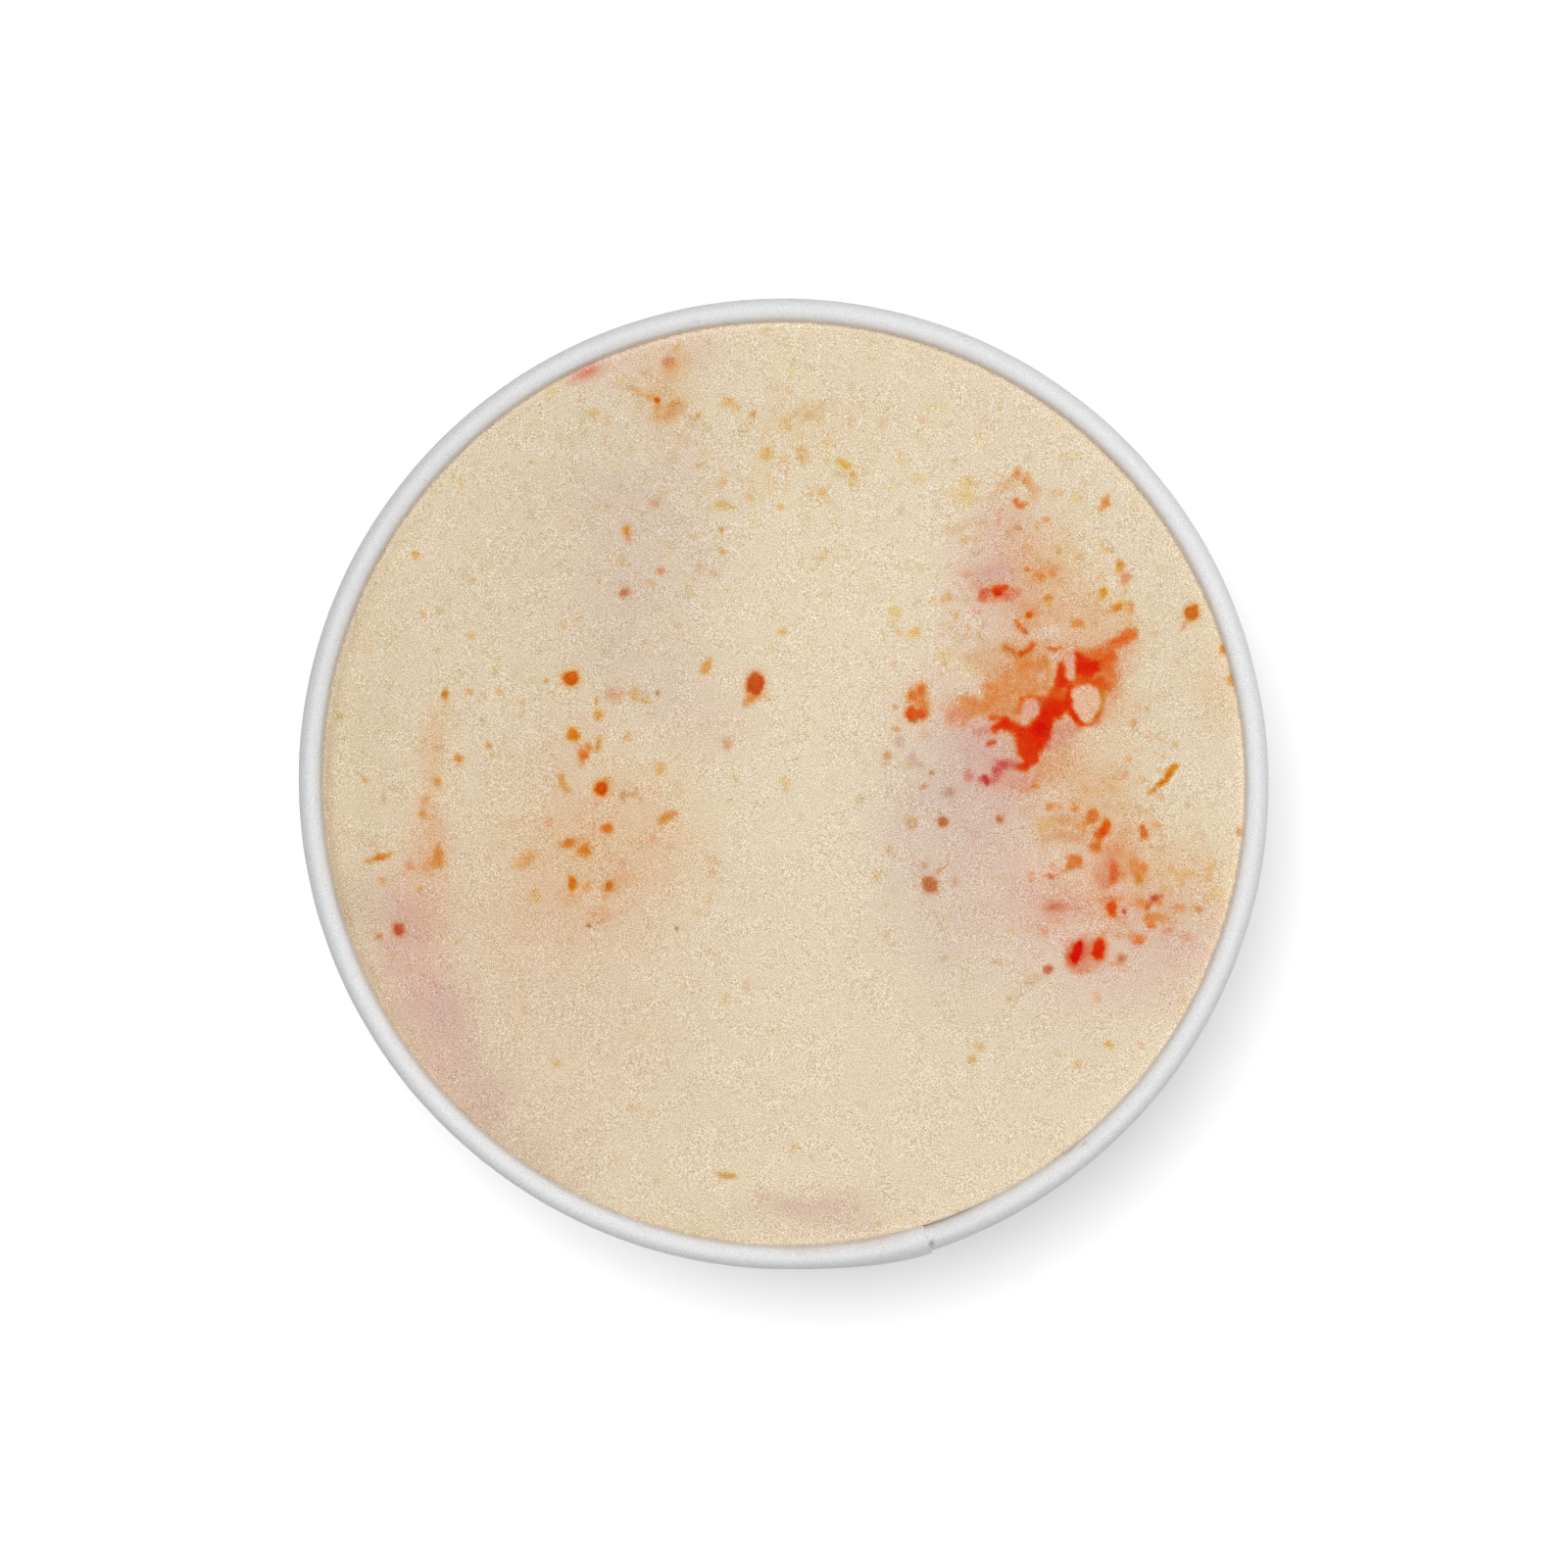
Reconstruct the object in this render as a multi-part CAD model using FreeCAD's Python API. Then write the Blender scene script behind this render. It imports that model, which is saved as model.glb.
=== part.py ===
import FreeCAD, Part
import math
import os

# Paper ice cream cup, filled to just under its rolled rim.
# Frame: origin at the centre of the base ring, on the surface the cup stands on, +Z up.
# Plan angles are counter-clockwise from +X. The wall's lap seam is at the -Y side.
# All lengths in millimetres.

# ---- driving dimensions --------------------------------------------------------------
RIM_OUTER_D = 96.0      # over the rolled rim
HEIGHT = 60.0           # base ring to the crest of the rim
BASE_OUTER_D = 75.0     # outside of the wall where it meets the table
PAPER_T = 0.36          # side wall board
FLOOR_T = 0.30          # base disc board
GLUE_T = 0.02           # glue film each side of the base disc's skirt
BEAD_D = 2.15           # rolled rim, across its section
CURL_END_DEG = -120.0   # where the roll stops, in section, from its outermost point

LAP_T = 0.25            # what the pressed second layer adds to the wall
LAP_INNER_EDGE = 72.5   # plan angle below +X of the inner layer's cut edge (inside, and on the rim)
LAP_OUTER_EDGE = 82.5   # the same for the outer layer's cut edge (outside)
RAMP_FROM = 48.0        # where the outer layer starts to lift towards the lap
SETTLE_TO = 90.0        # where the roll is back to its own size after the lap
LAP_ROLL_GROW = 0.60    # how much fatter the roll is over the lap

FLOOR_Z = 6.0           # underside of the raised floor
FOLD_TOP_Z = 5.3        # top of the wall's tucked-in leg
SKIRT_END_Z = 0.95      # bottom of the base disc's skirt
FLOOR_BEND_R = 0.75     # outer bend of the base disc
FOOT_R = 0.28           # rounding of the fold that the cup stands on
FOLD_INSIDE_R = 0.09

FILL_Z = 58.30          # mean level of the ice cream
FILL_EDGE_W = 2.6       # width over which its surface rounds down to the wall
FILL_EDGE_DROP = 0.75
FILL_WAVES = (          # gentle unevenness of the surface: height, wavelength, heading, phase
    (0.085, 34.0, 20.0, 0.3),
    (0.070, 25.0, 105.0, 1.9),
    (0.060, 19.0, 62.0, 4.0),
    (0.040, 13.0, 150.0, 2.6),
)

BEAD_R = BEAD_D / 2.0
BASE_R = BASE_OUTER_D / 2.0
RIM_R = RIM_OUTER_D / 2.0


def wall_slope():
    """Half angle of the cone that leaves the base and runs tangent into the roll."""
    dr, dz = RIM_R - BEAD_R - BASE_R, HEIGHT - BEAD_R
    return math.acos((BEAD_R - PAPER_T) / math.hypot(dr, dz)) - math.atan2(dz, dr)


ALPHA = wall_slope()
CA, SA, TA = math.cos(ALPHA), math.sin(ALPHA), math.tan(ALPHA)


def at_depth(q, z):
    """Section point at perpendicular depth q inside the wall's outer face, at height z."""
    return (BASE_R + z * TA - q / CA, z)


def ease(k):
    k = min(1.0, max(0.0, k))
    return k * k * (3.0 - 2.0 * k)


def seam_values(deg):
    """At a plan angle of -deg: lift of the lone layer, and growth of the roll's radius."""
    if deg <= RAMP_FROM or deg >= SETTLE_TO:
        return 0.0, 0.0
    if deg <= LAP_INNER_EDGE:
        lift = LAP_T * ease((deg - 60.0) / (LAP_INNER_EDGE - 60.0))
        k = (deg - RAMP_FROM) / (LAP_INNER_EDGE - RAMP_FROM)
        return lift, 0.5 * ((LAP_ROLL_GROW - LAP_T) * k ** 1.3 + lift)
    k = (deg - LAP_INNER_EDGE) / (SETTLE_TO - LAP_INNER_EDGE)
    return 0.0, 0.25 * LAP_ROLL_GROW * (1.0 + math.cos(math.pi * k))


def corner(p0, p, p1, radius):
    """Tangent points and middle of the round at corner p."""
    d0 = ((p0[0] - p[0]), (p0[1] - p[1]))
    d1 = ((p1[0] - p[0]), (p1[1] - p[1]))
    l0, l1 = math.hypot(*d0), math.hypot(*d1)
    d0, d1 = (d0[0] / l0, d0[1] / l0), (d1[0] / l1, d1[1] / l1)
    half = 0.5 * math.acos(d0[0] * d1[0] + d0[1] * d1[1])
    back = radius / math.tan(half)
    mid = (d0[0] + d1[0], d0[1] + d1[1])
    lm = math.hypot(*mid)
    reach = radius / math.sin(half) - radius
    return (
        (p[0] + d0[0] * back, p[1] + d0[1] * back),
        (p[0] + mid[0] / lm * reach, p[1] + mid[1] / lm * reach),
        (p[0] + d1[0] * back, p[1] + d1[1] * back),
    )


def section(a, b, roll_r):
    """The wall's board in section: rolled rim, cone wall, fold and tucked-in leg.

    a is how far its outer face stands out, b how far its inner face does.
    Returns drawing steps: ("line", p, q) and ("arc", p, middle, q).
    """
    t, tb = PAPER_T, FLOOR_T
    cq = t - roll_r
    cx, cz = at_depth(cq, HEIGHT - roll_r)
    inner_r, outer_r = roll_r - t - a, roll_r - b
    a0 = math.pi - ALPHA
    a3 = math.radians(CURL_END_DEG)
    stops = (a0, math.pi / 2.0, math.radians(-15.0), a3)

    def on(radius, ang):
        return (cx + radius * math.cos(ang), cz + radius * math.sin(ang))

    steps = []
    for lo, hi in ((3, 2), (2, 1), (1, 0)):     # hollow side of the roll, back to the wall
        m = 0.5 * (stops[lo] + stops[hi])
        steps.append(("arc", on(inner_r, stops[lo]), on(inner_r, m), on(inner_r, stops[hi])))
    q4 = 2.0 * (t + GLUE_T) + tb + a
    q3 = t + 2.0 * GLUE_T + tb + b
    q2 = t - b
    v1, v2 = at_depth(-a, 0.0), at_depth(q4, 0.0)
    l1, l2 = at_depth(q4, FOLD_TOP_Z), at_depth(q3, FOLD_TOP_Z)
    zi = t + a - b
    w1, w2 = at_depth(q3, zi), at_depth(q2, zi)
    end = on(outer_r, a0)
    corners = [(steps[-1][3], 0), (v1, FOOT_R), (v2, FOOT_R), (l1, 0), (l2, 0),
               (w1, FOLD_INSIDE_R), (w2, FOLD_INSIDE_R), (end, 0)]
    here = corners[0][0]
    for i in range(1, len(corners)):
        p, radius = corners[i]
        if radius:
            s, m, e = corner(corners[i - 1][0], p, corners[i + 1][0], radius)
            steps.append(("line", here, s))
            steps.append(("arc", s, m, e))
            here = e
        else:
            steps.append(("line", here, p))
            here = p
    for lo, hi in ((0, 1), (1, 2), (2, 3)):     # outside of the roll
        m = 0.5 * (stops[lo] + stops[hi])
        steps.append(("arc", on(outer_r, stops[lo]), on(outer_r, m), on(outer_r, stops[hi])))
    steps.append(("line", steps[-1][3], steps[0][1]))
    return steps


def wire(steps, deg=0.0):
    """Draws steps in the half plane at plan angle deg."""
    c, s = math.cos(math.radians(deg)), math.sin(math.radians(deg))

    def v(p):
        return FreeCAD.Vector(p[0] * c, p[0] * s, p[1])

    edges = []
    for step in steps:
        if step[0] == "line":
            edges.append(Part.LineSegment(v(step[1]), v(step[2])).toShape())
        else:
            edges.append(Part.Arc(v(step[1]), v(step[2]), v(step[3])).toShape())
    return Part.Wire(edges)


Z_AXIS = FreeCAD.Vector(0, 0, 1)
ORIGIN = FreeCAD.Vector(0, 0, 0)


def turned(w, degrees):
    return Part.Face(w).revolve(ORIGIN, Z_AXIS, degrees)


def solid_of(shape):
    if shape.Solids:
        return shape.Solids[0]
    return Part.Solid(shape.Shells[0])


def lofted(angles, a_of, b_of):
    """A sector of the wall through sections at the given angles below +X."""
    wires = []
    for deg in angles:
        lift, grow = seam_values(deg)
        wires.append(wire(section(a_of(lift), b_of(lift), BEAD_R + grow), -deg))
    return solid_of(Part.makeLoft(wires, True, False))


def spread(lo, hi, n):
    return [lo + (hi - lo) * i / (n - 1.0) for i in range(n)]


def make_sidewall():
    """One board blank: rolled out at the top, lapped and glued, folded in at the foot."""
    plain = section(0.0, 0.0, BEAD_R)
    whole = turned(wire(plain, -RAMP_FROM), 360.0 - (SETTLE_TO - RAMP_FROM))
    # The lone outer layer climbs to the lap.
    ramp = lofted(spread(RAMP_FROM, LAP_INNER_EDGE, 8), lambda s: s, lambda s: s)
    # Two layers, pressed together.
    lap = lofted(spread(LAP_INNER_EDGE + 1e-6, LAP_OUTER_EDGE, 5), lambda s: LAP_T, lambda s: 0.0)
    # One layer again, with the roll still settling.
    settle = lofted(spread(LAP_OUTER_EDGE, SETTLE_TO, 5), lambda s: 0.0, lambda s: 0.0)
    return whole.fuse([ramp, lap, settle])


def make_base_disc():
    """Raised floor with its edge turned down between the wall and the tucked-in leg."""
    t, tb = PAPER_T + GLUE_T, FLOOR_T
    top = FLOOR_Z + tb
    o_low, i_low = at_depth(t, SKIRT_END_Z), at_depth(t + tb, SKIRT_END_Z)
    o_bend = corner(o_low, at_depth(t, top), (0.0, top), FLOOR_BEND_R)
    i_bend = corner((0.0, FLOOR_Z), at_depth(t + tb, FLOOR_Z), i_low, FLOOR_BEND_R - tb)
    steps = [
        ("line", o_low, o_bend[0]),
        ("arc", o_bend[0], o_bend[1], o_bend[2]),
        ("line", o_bend[2], (0.0, top)),
        ("line", (0.0, top), (0.0, FLOOR_Z)),
        ("line", (0.0, FLOOR_Z), i_bend[0]),
        ("arc", i_bend[0], i_bend[1], i_bend[2]),
        ("line", i_bend[2], i_low),
        ("line", i_low, o_low),
    ]
    return turned(wire(steps), 360.0)


def fill_height(x, y):
    z = FILL_Z
    for amp, length, heading, phase in FILL_WAVES:
        h = math.radians(heading)
        z += amp * math.sin(2.0 * math.pi * (x * math.cos(h) + y * math.sin(h)) / length + phase)
    return z


def make_ice_cream():
    """Frozen contents: fills the cup from its floor, rounds down where it meets the wall."""
    floor = FLOOR_Z + FLOOR_T
    bottom = at_depth(PAPER_T, floor)
    contact = at_depth(PAPER_T, FILL_Z - FILL_EDGE_DROP)
    crown = sum(w[0] for w in FILL_WAVES)
    inner = (RIM_R - BEAD_D - FILL_EDGE_W, FILL_Z + crown + 0.1)
    mid = (inner[0] + 0.72 * (contact[0] - inner[0]), inner[1] - 0.30 * (inner[1] - contact[1]))
    steps = [
        ("line", (0.0, floor), bottom),
        ("line", bottom, contact),
        ("arc", contact, mid, inner),
        ("line", inner, (0.0, inner[1])),
        ("line", (0.0, inner[1]), (0.0, floor)),
    ]
    body = turned(wire(steps), 360.0)
    span, n = 52.0, 27
    grid = [[FreeCAD.Vector(x, y, fill_height(x, y)) for y in spread(-span, span, n)]
            for x in spread(-span, span, n)]
    surface = Part.BSplineSurface()
    surface.interpolate(grid)
    above = surface.toShape().extrude(FreeCAD.Vector(0, 0, 8.0))
    return body.cut(above)


os.makedirs("parts", exist_ok=True)
sidewall = make_sidewall()
base_disc = make_base_disc()
ice_cream = make_ice_cream()

for name, shape in (("sidewall", sidewall), ("base_disc", base_disc), ("ice_cream", ice_cream)):
    one = shape.Solids[0] if len(shape.Solids) == 1 else shape
    box = one.BoundBox
    print("%-10s solids %d valid %s closed %s volume %.1f mm3 faces %d box x %.2f..%.2f y %.2f..%.2f z %.2f..%.2f" % (
        name, len(shape.Solids), one.isValid(), one.Shells[0].isClosed(), one.Volume, len(one.Faces),
        box.XMin, box.XMax, box.YMin, box.YMax, box.ZMin, box.ZMax))
    one.exportStep("parts/%s.step" % name)
print("wall slope %.3f deg" % math.degrees(ALPHA))
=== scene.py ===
"""Looks of a filled paper ice cream cup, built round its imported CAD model.

Lengths are in millimetres until a mesh is made, in the frame of the CAD: origin at the centre of
the base ring, +Z up, the wall's lap seam at the -Y side.
"""
import math

import bpy
import numpy as np
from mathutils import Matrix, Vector
from mathutils.geometry import delaunay_2d_cdt


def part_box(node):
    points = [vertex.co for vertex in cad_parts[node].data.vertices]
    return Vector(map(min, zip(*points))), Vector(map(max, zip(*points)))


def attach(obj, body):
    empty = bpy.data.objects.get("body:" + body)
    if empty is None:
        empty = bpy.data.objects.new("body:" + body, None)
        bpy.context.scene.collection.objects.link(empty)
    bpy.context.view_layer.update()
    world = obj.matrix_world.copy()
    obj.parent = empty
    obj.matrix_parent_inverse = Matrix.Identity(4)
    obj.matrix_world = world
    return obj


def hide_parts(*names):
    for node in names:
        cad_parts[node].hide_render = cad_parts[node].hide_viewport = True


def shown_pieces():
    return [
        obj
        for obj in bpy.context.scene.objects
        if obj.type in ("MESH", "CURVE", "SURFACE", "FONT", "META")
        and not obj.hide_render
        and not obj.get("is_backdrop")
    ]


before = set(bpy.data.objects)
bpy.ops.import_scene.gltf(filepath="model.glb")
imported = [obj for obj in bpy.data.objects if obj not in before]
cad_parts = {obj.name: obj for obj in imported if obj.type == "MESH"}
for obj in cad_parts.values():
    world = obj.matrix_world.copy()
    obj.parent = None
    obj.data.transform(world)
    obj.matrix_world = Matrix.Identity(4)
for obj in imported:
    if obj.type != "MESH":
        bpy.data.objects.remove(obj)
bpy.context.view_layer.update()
MM = 0.001

# ---- sizes, as in the CAD ------------------------------------------------------------
wall_lo, wall_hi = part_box("sidewall")
HEIGHT = round(wall_hi.z / MM, 1)
RIM_R = round(0.5 * (wall_hi.x - wall_lo.x) / MM, 1)
BASE_R = 37.5
PAPER_T, FLOOR_T, GLUE_T = 0.36, 0.30, 0.02
BEAD_R = 1.075
CURL_END = -120.0
LAP_T, LAP_INNER_EDGE, LAP_OUTER_EDGE = 0.25, 72.5, 82.5
RAMP_FROM, SETTLE_TO, LAP_ROLL_GROW = 48.0, 90.0, 0.60
FLOOR_Z, FOLD_TOP_Z, SKIRT_END_Z = 6.0, 5.3, 0.95
FLOOR_BEND_R, FOOT_R, FOLD_INSIDE_R = 0.75, 0.28, 0.09
FILL_Z, FILL_EDGE_W, FILL_EDGE_DROP = 58.30, 2.6, 0.22
FILL_WAVES = (
    (0.085, 34.0, 20.0, 0.3),
    (0.070, 25.0, 105.0, 1.9),
    (0.060, 19.0, 62.0, 4.0),
    (0.040, 13.0, 150.0, 2.6),
)
_dr, _dz = RIM_R - BEAD_R - BASE_R, HEIGHT - BEAD_R
ALPHA = math.acos((BEAD_R - PAPER_T) / math.hypot(_dr, _dz)) - math.atan2(_dz, _dr)
CA, TA = math.cos(ALPHA), math.tan(ALPHA)
INTO_WALL = 0.05        # how far the contents reach into the board

# ---- the top's colour ----------------------------------------------------------------
# broad veils, in mm: middle x, y, width, height, turn in degrees, tint, strength
VEILS = [
    (-24.2, 30.9, 46.5, 36.8, 0, "cool_cream", 0.55),
    (-31, 9.6, 32, 50.4, 0, "dull_cream", 0.55),
    # painted shade: a dull strip down the left wall, where the cream's edge turns away from the light
    (-41.6, 2.9, 8.7, 54.2, 0, "dull_cream", 0.78),
    (-26.1, -22.3, 36.8, 32, 0, "dull_rose", 1),
    (-32, -19.4, 19.4, 25.2, 0, "dull_rose", 0.35),
    (7.7, 23.2, 40.7, 34.9, 0, "warm_cream", 0.45),
    (1.9, -9.7, 25.2, 54.2, 0, "warm_cream", 0.45),
    (1, 17.4, 11.6, 19.4, 0, "yellow_cream", 0.12),
    (1, 34.3, 17.4, 8.7, 0, "tan", 0.1),
    (31, 35.8, 25.2, 15.5, 0, "pale_pink", 0.25),
    (39.7, 19.3, 11.6, 25.2, 0, "cool_cream", 0.2),
    (-7.7, -44.1, 18.4, 5.8, 0, "dull_cream", 0.5),
    (3.9, -42.5, 14.5, 3.3, -2, "rose_grey", 0.42),
    # edge_shade veils: painted shade along the lower left edge of the cream
    (-32, -28.6, 29, 8.1, -54, "edge_shade", 0.26),
    (-23.2, -37.8, 16.5, 7.7, -38, "edge_shade", 0.2),
    (-41.8, -12.6, 17.4, 6.4, -7, "edge_shade", 0.26),
    (-15.5, 41.4, 14.5, 4.5, 22, "pale_rose", 0.35),
    (-19.6, 40.7, 4.5, 1.5, 26, "rose", 0.66),
    (-15.5, 42.6, 5.8, 1.9, 26, "pale_rose", 0.45),
    (0.2, 33.2, 2.5, 1.5, 0, "frost", 0.5),
    (1.5, 38.3, 5.8, 2.1, 0, "frost", 0.35),
    (1.5, 36.4, 5, 2.5, 0, "honey", 0.1),
    (-11.2, 39.5, 5.4, 7.4, 0, "peach", 0.3),
    (-11.2, 34.8, 4.3, 7.7, 8, "pale_rose", 0.26),
    (-14, 27.1, 12.6, 11.6, 0, "mauve_grey", 0.5),
    (-15, 18.3, 14.5, 16.5, 0, "mauve_grey", 0.45),
    (-18.4, 29, 8.7, 5.8, 0, "mauve_grey", 0.24),
    (-12.4, 10.6, 14.5, 8.7, 0, "mauve_grey", 0.3),
    (-8.2, 5, 9.7, 7.7, 0, "pale_rose", 0.32),
    (-18.9, -5.9, 16, 16, 0, "peach", 0.28),
    (-23.2, -12.6, 12.6, 7.7, 3, "peach", 0.15),
    (-21.3, 2.9, 11.6, 8.7, 0, "pale_rose", 0.24),
    (-13.1, -5.9, 10.7, 10.7, 0, "peach", 0.12),
    (-19.4, -12.6, 19.4, 11.6, 0, "pale_rose", 0.18),
    (16.3, 0, 10.7, 10.7, 0, "mauve", 0.48),
    (16.9, 2.9, 6.8, 5.8, 0, "mauve", 0.24),
    (15.5, -7.8, 12.6, 14.5, 0, "mauve", 0.36),
    (17.9, -15.1, 15.5, 10.7, 0, "mauve_grey", 0.3),
    (21.3, -3, 11.6, 11.6, 0, "mauve_pink", 0.32),
    (25.2, -12.6, 14.5, 10.7, 0, "mauve_pink", 0.36),
    (35.3, -18, 16.5, 7.7, 15, "mauve_pink", 0.32),
    (29, -21.4, 19.4, 6.8, 0, "pale_rose", 0.24),
    (30.2, -6.6, 10.7, 10.7, 0, "salmon", 0.26),
    (21.3, 17.4, 8.7, 8.1, 0, "salmon", 0.1),
    (13.6, 9.6, 8.1, 8.1, 0, "mauve_pink", 0.22),
    (21.1, 2.1, 8.1, 6.8, 0, "mauve_pink", 0.22),
    (36.8, -13.4, 8.1, 8.1, 0, "mauve_pink", 0.2),
    (32.4, -4.4, 5.8, 5.8, 0, "peach", 0.34),
    (37.8, -8.8, 10.7, 8.7, 0, "peach", 0.26),
    (28.3, -12.2, 8.7, 4.8, 0, "rose", 0.22),
    (33.9, -13.1, 8.7, 5.8, 0, "salmon", 0.24),
    (38.2, -15.1, 9.7, 4.8, 0, "pale_rose", 0.42),
    (30, 0, 8.7, 5.8, 0, "peach", 0.3),
    (20.5, 21.7, 7.7, 9.7, 0, "mauve_pink", 0.4),
    (22.3, 25.6, 6.8, 5.8, 0, "rose_tan", 0.4),
    (23.7, 18.8, 7.7, 9.7, 0, "salmon", 0.26),
    (19.4, 15.4, 8.7, 5.8, 0, "pale_rose", 0.42),
    (27.1, 19.8, 8.7, 9.7, 0, "peach", 0.36),
    (30, 15.4, 10.7, 4.8, 0, "peach", 0.34),
    (20.3, 12.1, 8.7, 4.8, 0, "peach", 0.24),
    (18.4, 5.8, 8.7, 6.8, 0, "pale_rose", 0.4),
    (32.9, 7.7, 5.8, 8.7, 0, "peach", 0.24),
    (28.1, 2.4, 7.7, 4.8, 0, "peach", 0.3),
    (21.3, 3.3, 7.7, 5.8, 0, "mauve_pink", 0.42),
    (19.4, 3.1, 4.3, 2.5, 0, "mauve_pink", 0.4),
    (23.2, 0.9, 3.3, 1.7, 0, "rose", 0.3),
    (41.8, 9.6, 5.8, 7.7, 0, "peach", 0.14),
    (25.5, 15, 2.5, 1.5, 2, "frost", 0.55),
    (18, 16.6, 3.9, 2.1, 1, "frost", 0.4),
    (18.6, 9.6, 2.5, 2.3, 0, "frost", 0.45),
    (27.1, -6.6, 5.8, 1.4, 0, "frost", 0.3),
    (34.1, -10.1, 1.2, 1, 0, "frost", 0.45),
    (18.4, 22.4, 2.9, 1.9, 0, "frost", 0.35),
    (19.4, 29.2, 1.7, 1.9, 0, "frost", 0.35),
]
# soft bands: line, width, tint, strength
BANDS = [
    ([(-33.89, 5.76), (-34.47, 0.92), (-35.05, -6.83)], 3.1, "peach", 0.3),
    ([(-34.86, -4.89), (-35.83, -9.73), (-35.63, -14.57)], 4.3, "salmon", 0.2),
    ([(-37.38, -12.15), (-36.02, -18.45), (-34.08, -23.77)], 4.5, "mauve_pink", 0.52),
    ([(-34.28, -22.32), (-31.76, -28.32), (-29.05, -32.97)], 4.3, "rose_grey", 0.66),
    ([(-38.73, -15.54), (-37.28, -22.32), (-34.37, -27.64)], 2.9, "mauve_pink", 0.24),
    ([(-1.94, -40.91), (2.9, -42.65), (8.71, -44.01)], 2.1, "rose_grey", 0.26),
    ([(-15.49, 44.01), (-9.68, 43.33), (-7.75, 42.56)], 2.5, "pale_rose", 0.3),
]
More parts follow.
